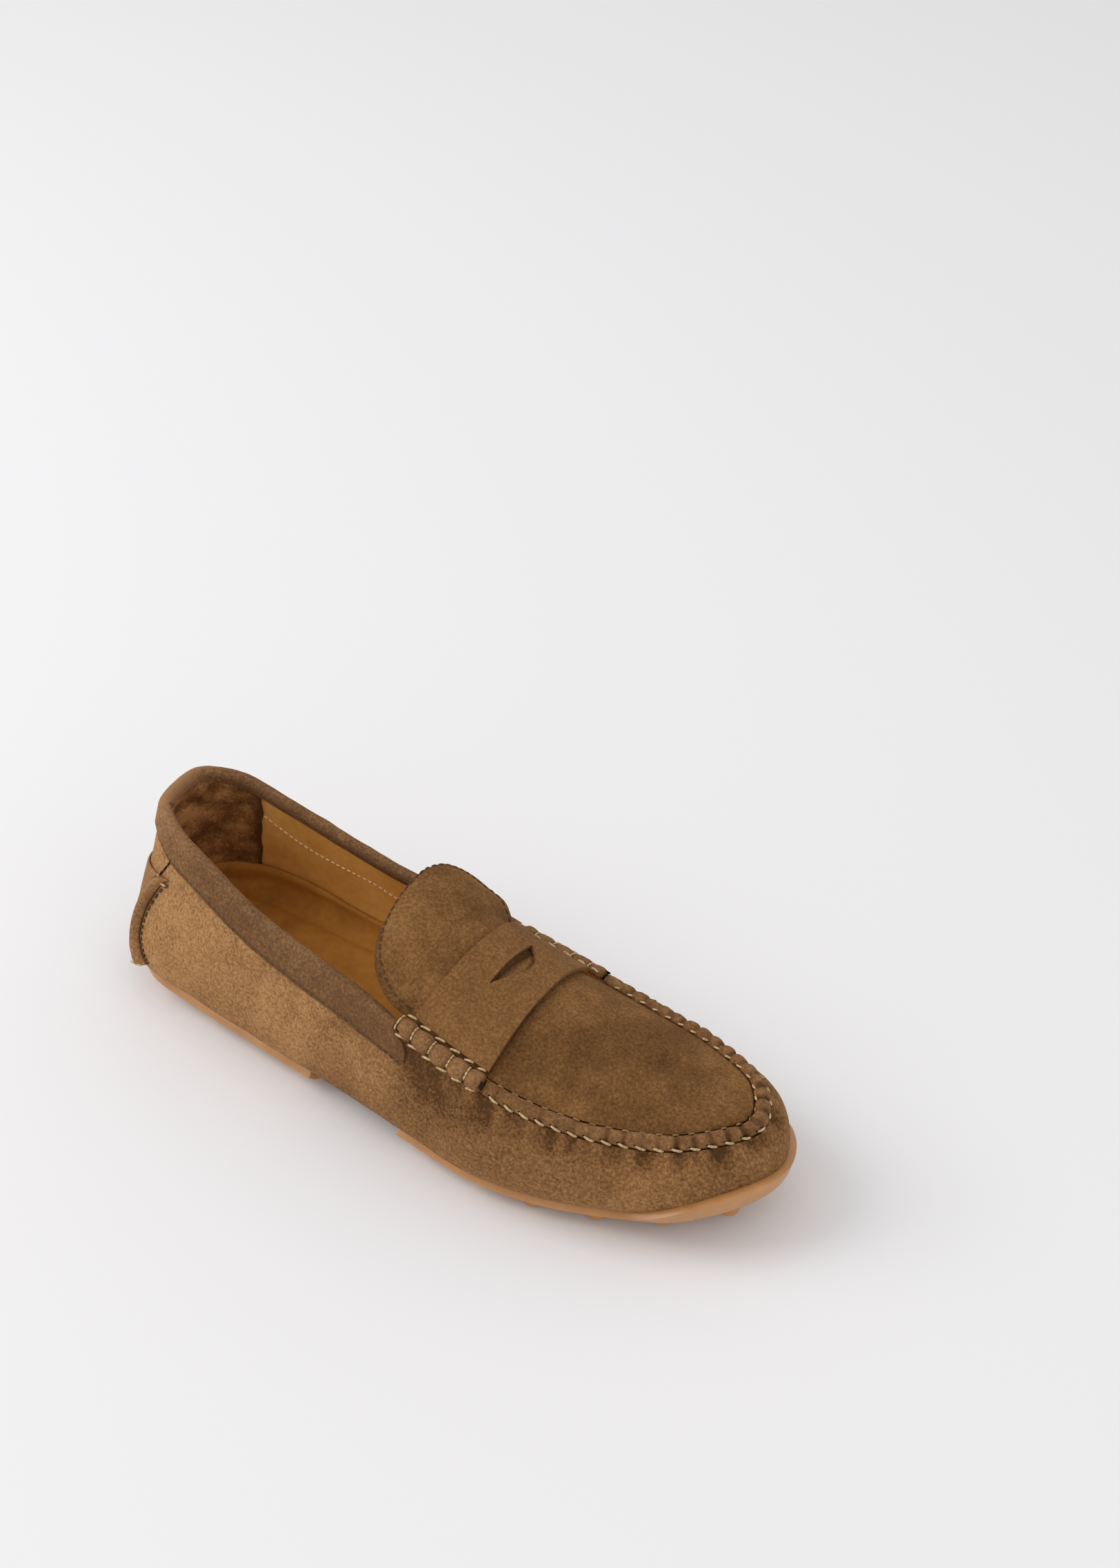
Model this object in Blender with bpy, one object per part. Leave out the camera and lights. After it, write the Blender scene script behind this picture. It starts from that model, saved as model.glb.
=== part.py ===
"""Driving moccasin, right shoe, men's size 43 (about 290 mm overall).

The wrap of suede goes under the foot and up its sides, and its edge is gathered
to the apron in a raised seam. Two rubber pads with studs are set under the wrap.
All lengths in the tables are millimetres; x runs from heel to toe, y to the inner
(medial) side of the foot, z up from the floor.
"""
import functools
import math

import bmesh
import bpy
from mathutils import Matrix, Vector

MM = 0.001

# Driving dimensions
WALL = 2.2              # suede and lining together
GAP = 0.3               # clearance between pieces that touch
STUD_HEIGHT = 3.2
PAD_THICKNESS = 3.0
ORIGIN_X = 139.4        # middle of the shoe's box along its length
ORIGIN_Y = -2.0         # and across

BAND_DEPTH = 9.5        # collar band, from the rim down the outer face
BAND_INSIDE = 6.0       # and down the inner face
BAND_THICKNESS = 1.2
SEAM_HALF_WIDTH = 2.8   # raised seam round the apron
SEAM_RISE = 2.6
APRON_THICKNESS = 1.8
TONGUE_START = 152.0    # the apron is free of the wrap behind this
STRAP_THICKNESS = 1.8
STRAP_SEAT = 0.5        # the strap's under face over the apron
ROLL_START, ROLL_END = 151.5, 189.0
ROLL_HALF_WIDTH = 4.4
ROLL_RISE = 5.2
ROLL_LOBES = 5
INSOLE_THICKNESS = 1.6  # at its edge
PATCH_HEIGHTS = (11.0, 12.2, 13.6, 15.0, 20.0, 27.0, 36.0, 45.0)
PATCH_HEAD_WIDTH, PATCH_FOOT_WIDTH = 0.027, 0.043   # half widths, as parts of the way round
STUD_RADIUS = 4.5
STUD_TAPER = 0.85       # a stud's foot beside its root
STUD_INSET = 9.5        # the outer ring of studs, in from the outline
HEEL_STUD_INSET = 4.0   # and as much more at the heel
STUD_TURN = 0.21        # each stud's eight sides are turned by this, in radians
STUD_RINGS = 3
STAND_SLACK = 0.8       # studs that end this close to the floor stand on it
KNOB_RADIUS, KNOB_HEIGHT = 2.6, 2.4
KNOB_PLACE = 0.93       # its place up the back piece
PATCH_THICKNESS = 1.5
PATCH_EDGE = (2.7, 3.1, 2.4, 1.7)   # from its side edge in: the rolled edge's rise

# Round the shoe from the back of the heel by the outer (lateral) side to the toe
# and home by the inner side. x, y: the widest outline. bulge_z: its height.
# rim_in, rim_z: the wrap's top edge, measured in from that outline. lean: how the
# wall goes there, 1 straight and 3 late. foot_in, foot_z: where the wrap has turned
# under the foot. rubber: how far up the wall the rubber reaches, 0 is the bulge.
STATION_COLUMNS = (
    "x", "y", "bulge_z", "rim_in", "rim_z", "lean", "foot_in", "foot_z", "rubber")
STATIONS = {
    "heel back":        (-5.5, 2.5, 15.0, 13.5, 75.0, 1.0, 10.0, 9.5, -0.72),
    "heel outer back":  (-1.2, -19.2, 15.0, 17.8, 74.0, 1.0, 11.0, 8.6, -0.68),
    "heel outer":       (17.0, -32.8, 19.0, 19.0, 71.8, 1.2, 13.0, 7.2, -0.58),
    "heel outer front": (46.0, -38.0, 23.0, 15.8, 68.4, 1.7, 13.0, 6.8, -0.60),
    "waist outer back": (74.0, -41.0, 24.0, 12.8, 62.4, 1.9, 13.0, 6.6, -0.62),
    "waist outer":      (102.0, -43.5, 23.0, 12.2, 57.6, 2.0, 13.0, 6.6, -0.62),
    "instep outer":     (130.0, -46.2, 23.0, 10.4, 55.8, 2.2, 13.0, 6.6, -0.62),
    "seam outer back":  (158.0, -49.4, 22.0, 7.0, 52.8, 2.2, 13.0, 6.6, -0.62),
    "ball outer":       (186.0, -52.0, 21.0, 8.6, 46.4, 2.2, 13.0, 6.8, -0.62),
    "toes outer":       (212.0, -49.0, 21.0, 8.6, 41.6, 2.2, 13.0, 7.4, -0.60),
    "small toe":        (239.0, -40.5, 22.0, 8.2, 39.0, 2.2, 14.0, 8.6, -0.55),
    "toe outer":        (265.5, -25.5, 24.0, 8.4, 38.4, 2.2, 15.0, 10.2, -0.22),
    "toe tip":          (282.8, 2.5, 26.0, 7.4, 38.4, 2.2, 16.5, 12.4, 0.10),
    "toe inner":        (270.4, 27.6, 26.0, 7.0, 39.2, 2.2, 16.0, 10.4, -0.18),
    "big toe":          (245.0, 40.0, 23.0, 9.0, 40.6, 2.2, 14.0, 8.8, -0.50),
    "toes inner":       (216.0, 45.6, 22.0, 10.4, 41.2, 2.2, 13.0, 7.6, -0.60),
    "ball inner":       (190.0, 48.0, 22.0, 11.4, 43.0, 2.2, 13.0, 6.8, -0.62),
    "seam inner back":  (160.0, 46.0, 23.0, 11.0, 48.4, 2.2, 13.0, 6.6, -0.62),
    "instep inner":     (131.0, 42.8, 24.0, 8.8, 53.6, 2.2, 13.0, 6.6, -0.62),
    "waist inner":      (103.0, 39.5, 25.0, 8.0, 55.0, 2.0, 13.0, 6.6, -0.62),
    "waist inner back": (75.0, 38.0, 25.0, 7.6, 60.0, 1.9, 13.0, 6.6, -0.62),
    "heel inner front": (47.0, 37.5, 22.0, 8.2, 66.2, 1.6, 13.0, 6.8, -0.60),
    "heel inner":       (19.5, 35.6, 19.0, 8.6, 71.6, 1.2, 13.0, 7.2, -0.58),
    "heel inner back":  (0.2, 23.2, 15.0, 10.2, 74.8, 1.0, 11.0, 8.6, -0.68),
}

# Height of the apron's ridge line over the floor. side: where the ridge lies across
# the apron, 0 the outer edge and 1 the inner.
CROWN_COLUMNS = ("x", "z", "side")
CROWN = (
    (124.0, 84.4, 0.58), (136.0, 81.6, 0.57), (150.0, 76.0, 0.56), (165.0, 69.0, 0.55),
    (180.0, 63.0, 0.54), (200.0, 57.4, 0.53), (222.0, 52.2, 0.52), (245.0, 47.2, 0.51),
    (260.0, 44.2, 0.50), (274.0, 41.6, 0.50),
)

# The free tongue's two edges, from in front of the seam's end to the tip.
TONGUE_COLUMNS = ("outer_x", "outer_y", "outer_z", "inner_x", "inner_y", "inner_z")
TONGUE = (
    (144.5, -36.3, 61.6, 146.0, 32.0, 61.0), (137.5, -33.4, 66.2, 140.5, 30.0, 66.4),
    (132.0, -28.0, 70.4, 135.5, 27.0, 72.3), (128.6, -20.5, 74.2, 131.8, 22.2, 78.0),
    (127.0, -12.0, 78.0, 129.2, 16.5, 82.2), (126.5, -3.5, 81.2, 127.6, 9.5, 84.0),
)
CROWN_FADE = 12.0       # the ridge goes down where the apron is narrower than this
ARCH = 2.2              # roundness of the instep's arch, 2 is a parabola

# The strap's edges over the instep: x on the outer side, in the middle, on the inner
STRAP_BACK = (155.0, 159.0, 155.0)
STRAP_FRONT = (188.0, 186.6, 182.0)
# The strap's cut-out, x and y: a straight back edge and a rounded point forwards
CUT_OUT = ((172.3, -13.9), (176.9, -4.1), (178.3, 2.1), (176.8, 8.1), (171.1, 13.5))

FLEX_GAP_BACK, FLEX_GAP_FRONT = 106.0, 151.0    # bare suede between the rubber pads
STUD_PITCH, STUD_ROW = 23.0, 12.5
FOOTBED_EDGE_HEEL, FOOTBED_EDGE_TOE = 26.0, 20.0    # where its edge ends up the wall
FOOTBED_STEP_DOWN = (45.0, 85.0)                    # it comes down between these x
FOOTBED_MIDDLE = 4.5    # its thickness under the foot

SIDE_STEPS = 60         # round the shoe
CLOSER_ENDS = 0.4       # how much closer they are at the toe and the heel
WALL_STEPS = 8          # up the wall
FLOOR_STEPS = 4         # across the bottom
TOE = 0.5               # the toe's place on the way round
TOE_TIP = 283.0
OUTER, INNER = 1, -1    # sides of the shoe


def remove_old_objects():
    for old in list(bpy.data.objects):
        bpy.data.objects.remove(old, do_unlink=True)


def make_material(name, colour, roughness):
    material = bpy.data.materials.new(name)
    material.use_nodes = True
    shader = material.node_tree.nodes["Principled BSDF"]
    shader.inputs["Base Color"].default_value = (*colour, 1.0)
    shader.inputs["Roughness"].default_value = roughness
    shader.inputs["Metallic"].default_value = 0.0
    return material


def cubic(before, start, end, after, t):
    """Catmull-Rom value between start and end."""
    slope_in = (end - before) / 2
    slope_out = (after - start) / 2
    return (start * (2 * t**3 - 3 * t**2 + 1) + slope_in * (t**3 - 2 * t**2 + t)
            + end * (3 * t**2 - 2 * t**3) + slope_out * (t**3 - t**2))


@functools.lru_cache(maxsize=None)
def station(column, u):
    """A column of STATIONS at u, once round the shoe from 0 to 1."""
    rows = list(STATIONS.values())
    place = STATION_COLUMNS.index(column)
    count = len(rows)
    first = math.floor(u * count)
    values = [rows[(first + k) % count][place] for k in (-1, 0, 1, 2)]
    return cubic(*values, u * count - first)


def along_table(table, position, place):
    """A column of a table at a row number that may lie between two rows."""
    last = len(table) - 1
    first = min(int(position), last - 1)
    values = [table[min(max(first + k, 0), last)][place] for k in (-1, 0, 1, 2)]
    return cubic(*values, position - first)


def crown_value(x, column):
    """Height or side of the apron's ridge line at x."""
    rows = len(CROWN) - 1
    index = max((k for k in range(rows) if CROWN[k][0] <= x), default=0)
    part = (x - CROWN[index][0]) / (CROWN[index + 1][0] - CROWN[index][0])
    return along_table(CROWN, index + min(max(part, 0.0), 1.0), CROWN_COLUMNS.index(column))


def outline(u):
    return Vector((station("x", u), station("y", u), 0.0))


def outward(u):
    """Level direction square to the outline, away from the foot."""
    ahead = outline(u + 0.004) - outline(u - 0.004)
    return Vector((ahead.y, -ahead.x, 0.0)).normalized()


def wall_point(u, v, extra=0.0):
    """The wrap's outer face: v is -1 under the foot, 0 at the bulge, 1 at the rim."""
    bulge_z = station("bulge_z", u)
    if v >= 0.0:
        reach = station("rim_in", u) * v**station("lean", u)
        height = bulge_z + (station("rim_z", u) - bulge_z) * v
    else:
        turn = -v * math.pi / 2
        reach = station("foot_in", u) * (1.0 - math.cos(turn))
        height = bulge_z - (bulge_z - station("foot_z", u)) * math.sin(turn)
    point = outline(u) - outward(u) * reach + Vector((0.0, 0.0, height))
    if extra:
        point = point + wall_normal(u, v) * extra
    return point


def wall_normal(u, v):
    step = 0.004
    along = wall_point(u + step, v) - wall_point(u - step, v)
    up = wall_point(u, min(v + step, 1.0)) - wall_point(u, max(v - step, -1.0))
    return along.cross(up).normalized()


def wall_up(u):
    """Direction up the wall at the rim."""
    return (wall_point(u, 1.0) - wall_point(u, 0.97)).normalized()


def apron_edge(u):
    """The apron's edge beside the raised seam, a seam's width in from the wrap's rim."""
    across = 2 * (SEAM_HALF_WIDTH + GAP)
    rise = across * 0.42
    return wall_point(u, 1.0) - outward(u) * across + Vector((0.0, 0.0, rise))


def seam_middle(u):
    return (wall_point(u, 1.0) + apron_edge(u)) / 2


def step_place(step):
    """Where a step round the shoe lies: the steps are closer at the toe and the heel."""
    way = step / SIDE_STEPS
    return way - CLOSER_ENDS * math.sin(4 * math.pi * way) / (4 * math.pi)


def shared_places(start, end):
    """Places on the way round from start to end that keep to the wrap's own steps."""
    margin = 0.2 / SIDE_STEPS
    steps = [step_place(k) for k in range(-SIDE_STEPS, SIDE_STEPS + 1)]
    return [start, *(u for u in steps if start + margin < u < end - margin), end]


@functools.lru_cache(maxsize=None)
def side_u(x, side):
    """The place on the way round, on one side, where the seam's middle is at x."""
    low, high = 0.0, TOE
    for _ in range(30):
        middle = (low + high) / 2
        place = middle if side == OUTER else 1.0 - middle
        if seam_middle(place).x < x:
            low = middle
        else:
            high = middle
    return low if side == OUTER else 1.0 - low


@functools.lru_cache(maxsize=None)
def apron_line(along):
    """The apron's two edges: along is 0 where the tongue frees, 1 at the toe, -1 at
    the tongue's end."""
    start = side_u(TONGUE_START, OUTER)
    start_inner = side_u(TONGUE_START, INNER)
    if along >= 0.0:
        outer = apron_edge(start + (TOE - start) * along)
        inner = apron_edge(start_inner + (TOE - start_inner) * along)
        return outer, inner
    root = (*apron_edge(start), *apron_edge(start_inner))
    table = (root, *TONGUE)
    values = [along_table(table, -along * (len(table) - 1), k) for k in range(6)]
    return Vector(values[:3]), Vector(values[3:])


def apron_point(along, across, extra=0.0):
    """The apron's upper face, arched between its edges."""
    outer, inner = apron_line(along)
    point = outer.lerp(inner, across)
    x = (outer.x + inner.x) / 2
    side = crown_value(x, "side")
    crown = max(crown_value(x, "z") - outer.lerp(inner, side).z, 0.0)
    crown *= min((inner - outer).length / CROWN_FADE, 1.0)
    way = across**(math.log(0.5) / math.log(side))
    point.z += crown * (1.0 - abs(2 * way - 1.0)**ARCH)
    if extra:
        point = point + apron_normal(along, across) * extra
    return point


def apron_normal(along, across):
    step = 0.01
    forward = apron_point(min(along + step, 1.0), across) - apron_point(along - step, across)
    side = (apron_point(along, min(across + step, 1.0))
            - apron_point(along, max(across - step, 0.0)))
    return forward.cross(side).normalized()


def in_place(point):
    """From the tables' millimetres to the shoe's own frame in metres."""
    return Vector((point.x - ORIGIN_X, point.y - ORIGIN_Y, point.z)) * MM


def grid_sheet(mesh, along_steps, across_steps, place):
    """A grid of squares whose corner (i, j) goes to place(i / along, j / across)."""
    made = bmesh.ops.create_grid(
        mesh, x_segments=along_steps, y_segments=across_steps, size=0.5)
    for vert in made["verts"]:
        vert.co = in_place(place(vert.co.x + 0.5, vert.co.y + 0.5))


def finish_mesh(name, mesh, material):
    data = bpy.data.meshes.new(name)
    mesh.to_mesh(data)
    mesh.free()
    data.materials.append(material)
    data.shade_smooth()
    data.set_sharp_from_angle(angle=math.radians(50))
    thing = bpy.data.objects.new(name, data)
    bpy.context.collection.objects.link(thing)
    return thing


def join_rims(mesh):
    rims = [edge for edge in mesh.edges if edge.is_boundary]
    bmesh.ops.bridge_loops(mesh, edges=rims)


def close_seams(mesh):
    bmesh.ops.remove_doubles(mesh, verts=mesh.verts, dist=0.00002)
    bmesh.ops.dissolve_degenerate(mesh, edges=mesh.edges, dist=0.00002)


def sheet_object(name, mesh, material, thickness):
    """A skin that gets its thickness away from its face."""
    close_seams(mesh)
    thing = finish_mesh(name, mesh, material)
    wall = thing.modifiers.new("wall", "SOLIDIFY")
    wall.thickness = thickness * MM
    wall.offset = -1.0
    return thing


def closed_object(name, mesh, material):
    close_seams(mesh)
    bmesh.ops.recalc_face_normals(mesh, faces=mesh.faces)
    return finish_mesh(name, mesh, material)


def wrap_skin(mesh, places, lowest, highest, rows, extra=0.0):
    """The wrap's face at a list of places on the way round."""
    columns = len(places) - 1

    def place(s, t):
        u = places[round(s * columns)]
        low, high = lowest(u), highest(u)
        return wall_point(u, low + (high - low) * t, extra)
    grid_sheet(mesh, columns, rows, place)


def floor_skin(mesh, places, extra=0.0):
    """The wrap's bottom, from places on its outer side to their twins opposite."""
    columns = len(places) - 1

    def place(s, t):
        u = places[round(s * columns)]
        outer = wall_point(u, -1.0, extra)
        inner = wall_point(1.0 - u, -1.0, extra)
        return inner.lerp(outer, t)
    grid_sheet(mesh, columns, FLOOR_STEPS, place)


def make_upper(material):
    """The wrap: sides, heel, toe wall and the bottom under the foot, one hollow skin."""
    mesh = bmesh.new()
    wrap_skin(mesh, shared_places(0.0, 1.0), lambda u: -1.0, lambda u: 1.0, WALL_STEPS)
    floor_skin(mesh, shared_places(0.0, TOE))
    return sheet_object("upper", mesh, material, WALL)


def height_v(u, z):
    """How far up the wall, as v, its face is z above the floor."""
    bulge_z, foot_z = station("bulge_z", u), station("foot_z", u)
    if z >= bulge_z:
        return (z - bulge_z) / (station("rim_z", u) - bulge_z)
    return -math.asin(min((bulge_z - z) / (bulge_z - foot_z), 1.0)) / (math.pi / 2)


def slab(mesh, along_steps, across_steps, upper_place, lower_place):
    """A closed slab between two faces whose rims match."""
    grid_sheet(mesh, along_steps, across_steps, upper_place)
    grid_sheet(mesh, along_steps, across_steps, lambda s, t: lower_place(1.0 - s, t))


def footbed_point(s, t, lift_edge, lift_middle):
    """A face inside the wrap: t across from edge to edge, lifted off the wrap's face."""
    side_rows = WALL_STEPS // 2
    columns = 2 * side_rows + FLOOR_STEPS
    column = round(t * columns)
    way = step_place(s * SIDE_STEPS / 2)
    u = way if column <= columns // 2 else 1.0 - way
    row = min(column, columns - column)
    if row < side_rows:
        x = outline(u).x
        near, far = FOOTBED_STEP_DOWN
        part = min(max((x - near) / (far - near), 0.0), 1.0)
        edge = FOOTBED_EDGE_HEEL + (FOOTBED_EDGE_TOE - FOOTBED_EDGE_HEEL) * part
        v = max(height_v(u, edge), -0.15) if row == 0 else -row / side_rows
        share = (row / side_rows)**2
        return wall_point(u, v, -(lift_edge + (lift_middle - lift_edge) * share))
    outer = wall_point(way, -1.0, -lift_middle)
    inner = wall_point(1.0 - way, -1.0, -lift_middle)
    return outer.lerp(inner, (column - side_rows) / FLOOR_STEPS)


def make_insole(material):
    """The footbed: thick under the foot, its edge turned up thin against the wall."""
    mesh = bmesh.new()
    under = WALL + GAP
    slab(mesh, SIDE_STEPS // 2, WALL_STEPS + FLOOR_STEPS,
         lambda s, t: footbed_point(s, t, under + INSOLE_THICKNESS, under + FOOTBED_MIDDLE),
         lambda s, t: footbed_point(s, t, under, under))
    close_seams(mesh)
    join_rims(mesh)
    return closed_object("insole", mesh, material)


def make_apron(material):
    """The plug over the toes and the instep, which runs back as the free tongue."""
    mesh = bmesh.new()
    grid_sheet(mesh, 24, 10, lambda s, t: apron_point(2.0 * s - 1.0, t))
    return sheet_object("apron", mesh, material, APRON_THICKNESS)


def along_of_x(x):
    start = side_u(TONGUE_START, OUTER)
    return (side_u(x, OUTER) - start) / (TOE - start)


def strap_edge(edge, across):
    """Where a strap edge crosses the apron, from its three x values."""
    outer, middle, inner = (along_of_x(x) for x in edge)
    bend = middle - (outer + inner) / 2
    return outer + (inner - outer) * across + bend * (1.0 - (2 * across - 1.0)**2)


def strap_point(s, t, extra):
    """The strap's upper face: s from back edge to front edge, t across the instep."""
    back, front = strap_edge(STRAP_BACK, t), strap_edge(STRAP_FRONT, t)
    along = back + (front - back) * s
    outer, inner = apron_line(along)
    inset = (ROLL_HALF_WIDTH - SEAM_HALF_WIDTH + GAP) / (inner - outer).length
    return apron_point(along, inset + (1.0 - 2 * inset) * t, extra)


def make_strap(material):
    """The saddle over the instep, with its cut-out."""
    mesh = bmesh.new()
    grid_sheet(mesh, 8, 16, lambda s, t: strap_point(s, t, STRAP_SEAT + STRAP_THICKNESS))
    strap = sheet_object("strap", mesh, material, STRAP_THICKNESS)

    cutter_mesh = bmesh.new()
    corners = [cutter_mesh.verts.new(in_place(Vector((x, y, 55.0)))) for x, y in CUT_OUT]
    face = cutter_mesh.faces.new(corners)
    lifted = bmesh.ops.extrude_face_region(cutter_mesh, geom=[face])
    top = [item for item in lifted["geom"] if isinstance(item, bmesh.types.BMVert)]
    bmesh.ops.translate(cutter_mesh, verts=top, vec=(0.0, 0.0, 25.0 * MM))
    cutter = closed_object("strap_cutter", cutter_mesh, material)
    cutter.hide_render = True
    cutter.display_type = "WIRE"
    cut = strap.modifiers.new("cut_out", "BOOLEAN")
    cut.operation = "DIFFERENCE"
    cut.object = cutter
    return strap


def seam_frame(u):
    """Middle of the seam, with the directions across it (outwards) and up off it."""
    ahead = (seam_middle(u + 0.004) - seam_middle(u - 0.004)).normalized()
    across = (wall_point(u, 1.0) - apron_edge(u)).normalized()
    up = ahead.cross(across).normalized()
    if up.z < 0:
        up = -up
    return seam_middle(u), across, up


def swept_roll(mesh, start, end, steps, profile):
    """A closed roll on the seam; profile(s) gives its section as (across, up) pairs."""
    count = len(profile(0.0))

    def place(s, t):
        section = profile(s)
        sideways, lift = section[round(t * count) % count]
        middle, across, up = seam_frame(start + (end - start) * s)
        return middle + across * sideways + up * lift
    grid_sheet(mesh, steps, count, place)
    close_seams(mesh)
    bmesh.ops.holes_fill(mesh, edges=mesh.edges, sides=0)


def make_seam_ridge(material):
    """The gathered edge of the wrap, stitched up to the apron's edge."""
    mesh = bmesh.new()

    def profile(s):
        ring = []
        for k in range(8):
            angle = k * math.pi / 4
            rise = SEAM_RISE if math.sin(angle) > 0 else 0.8
            ring.append((SEAM_HALF_WIDTH * math.cos(angle), rise * math.sin(angle)))
        return ring

    start = side_u(ROLL_END + 1.0, OUTER)
    end = side_u(ROLL_END + 1.0, INNER)
    swept_roll(mesh, start, end, 40, profile)
    return closed_object("seam_ridge", mesh, material)


def make_side_roll(name, side, material):
    """A roll of suede bound over each end of the seam, drawn in by its stitches."""
    mesh = bmesh.new()

    def profile(s):
        pinch = 0.90 + 0.10 * abs(math.sin(s * ROLL_LOBES * math.pi))
        ends = min(1.0, math.sqrt(max(s, 0.0) / 0.10 + 0.12), math.sqrt((1.0 - s) / 0.05 + 0.3))
        size = pinch * ends
        slot = SEAM_HALF_WIDTH * 0.96
        ring = [(-slot, -0.4), (-slot, 0.5)]
        for k in range(6):
            angle = math.pi - k * math.pi / 5
            width = ROLL_HALF_WIDTH * max(size, 0.72) * (0.8 if k < 3 else 1.0)
            ring.append((width * math.cos(angle),
                         0.7 + (ROLL_RISE - 0.7) * math.sin(angle) * size))
        ring += [(slot, 0.5), (slot, -0.4)]
        return ring

    start, end = side_u(ROLL_START, side), side_u(ROLL_END, side)
    swept_roll(mesh, start, end, 20, profile)
    return closed_object(name, mesh, material)


def make_collar(material):
    """The folded band over the rim: a deep outer leg, a round top, a short inner leg."""
    mesh = bmesh.new()
    outer_lift = GAP + BAND_THICKNESS
    inner_lift = WALL + GAP + BAND_THICKNESS
    radius = WALL / 2 + GAP + BAND_THICKNESS
    outer_rows, top_rows, inner_rows = 3, 4, 1
    rows = outer_rows + top_rows + inner_rows
    ends = {side: (side_u(ROLL_START - 1.0, side), side_u(ROLL_START + 7.0, side))
            for side in (OUTER, INNER)}
    places = shared_places(ends[INNER][0] - 1.0, ends[OUTER][0])
    columns = len(places) - 1

    def end_u(side, row):
        """The band stops behind the side roll, and its outer leg runs on below it."""
        short, far = ends[side]
        reach = {0: 0.65, 1: 1.0, 2: 0.8}.get(row, 0.0)
        return short + (far - short) * reach

    def place(s, t):
        row, column = round(t * rows), round(s * columns)
        u = places[column]
        if column == 0:
            u = end_u(INNER, row) - 1.0
        elif column == columns:
            u = end_u(OUTER, row)
        height = station("rim_z", u) - station("bulge_z", u)
        if row <= outer_rows:
            depth = BAND_DEPTH * (1.0 - row / outer_rows)
            return wall_point(u, 1.0 - depth / height, outer_lift)
        rim = wall_point(u, 1.0)
        if row < outer_rows + top_rows:
            angle = (row - outer_rows) * math.pi / top_rows
            out, up = wall_normal(u, 1.0), wall_up(u)
            middle = rim - out * WALL / 2
            return middle + out * radius * math.cos(angle) + up * radius * math.sin(angle)
        depth = BAND_INSIDE * (row - outer_rows - top_rows) / inner_rows
        return wall_point(u, 1.0 - depth / height, -inner_lift)

    grid_sheet(mesh, columns, rows, place)
    return sheet_object("collar", mesh, material, BAND_THICKNESS)


def patch_point(s, t, extra):
    """The back piece's place on the heel: s across it, t up it."""
    half_width = PATCH_FOOT_WIDTH + (PATCH_HEAD_WIDTH - PATCH_FOOT_WIDTH) * t
    u = 0.002 + (2 * s - 1.0) * half_width
    row = t * (len(PATCH_HEIGHTS) - 1)
    lower = min(int(row), len(PATCH_HEIGHTS) - 2)
    z = PATCH_HEIGHTS[lower] + (PATCH_HEIGHTS[lower + 1] - PATCH_HEIGHTS[lower]) * (row - lower)
    return wall_point(u, height_v(u, z), extra)


def make_heel_patch(material):
    """The back piece, with its two side edges rolled and raised."""
    mesh = bmesh.new()
    rise = (*PATCH_EDGE, *(7 * [PATCH_THICKNESS]), *reversed(PATCH_EDGE))
    columns, rows = len(rise) - 1, len(PATCH_HEIGHTS) - 1
    slab(mesh, columns, rows,
         lambda s, t: patch_point(s, t, GAP + rise[round(s * columns)]),
         lambda s, t: patch_point(s, t, GAP))
    join_rims(mesh)
    return closed_object("heel_patch", mesh, material)


def make_heel_knob(material):
    """The rubber knob on the back of the heel."""
    mesh = bmesh.new()
    foot = patch_point(0.5, KNOB_PLACE, GAP + PATCH_THICKNESS + GAP)
    out = (patch_point(0.5, KNOB_PLACE, 5.0) - patch_point(0.5, KNOB_PLACE, 0.0)).normalized()
    turn = Vector((0.0, 0.0, 1.0)).rotation_difference(out).to_matrix()
    bmesh.ops.create_cone(mesh, cap_ends=True, segments=12, radius1=KNOB_RADIUS * MM,
                          radius2=KNOB_RADIUS * 0.75 * MM, depth=KNOB_HEIGHT * MM)
    for vert in mesh.verts:
        vert.co = turn @ (vert.co + Vector((0.0, 0.0, KNOB_HEIGHT / 2 * MM))) + in_place(foot)
    return closed_object("heel_knob", mesh, material)


def outline_u(x):
    """The place on the outer side where the outline is at x."""
    low, high = 0.0, TOE
    for _ in range(30):
        middle = (low + high) / 2
        if outline(middle).x < x:
            low = middle
        else:
            high = middle
    return low


def bottom_height(x):
    """The wrap's lowest face at x."""
    low, high = 0.0, TOE
    for _ in range(24):
        middle = (low + high) / 2
        if wall_point(middle, -1.0).x < x:
            low = middle
        else:
            high = middle
    return wall_point(low, -1.0).z


def stud_places():
    """Stud middles in rings that follow the outline."""
    places = []
    fine = 600
    for ring in range(STUD_RINGS):
        walked = ring * STUD_PITCH / 2
        last = None
        for k in range(fine + 1):
            u = (TOE + k / fine) % 1.0
            inset = STUD_INSET + ring * STUD_ROW
            if outline(u).x < FLEX_GAP_BACK:
                inset += HEEL_STUD_INSET
            here = outline(u) - outward(u) * inset
            walked += (here - last).length if last else 0.0
            last = here
            apart = min(((here - old).length for old in places), default=STUD_PITCH)
            if walked >= STUD_PITCH and apart > 2.6 * STUD_RADIUS:
                places.append(here)
                walked = 0.0
    return places


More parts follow.
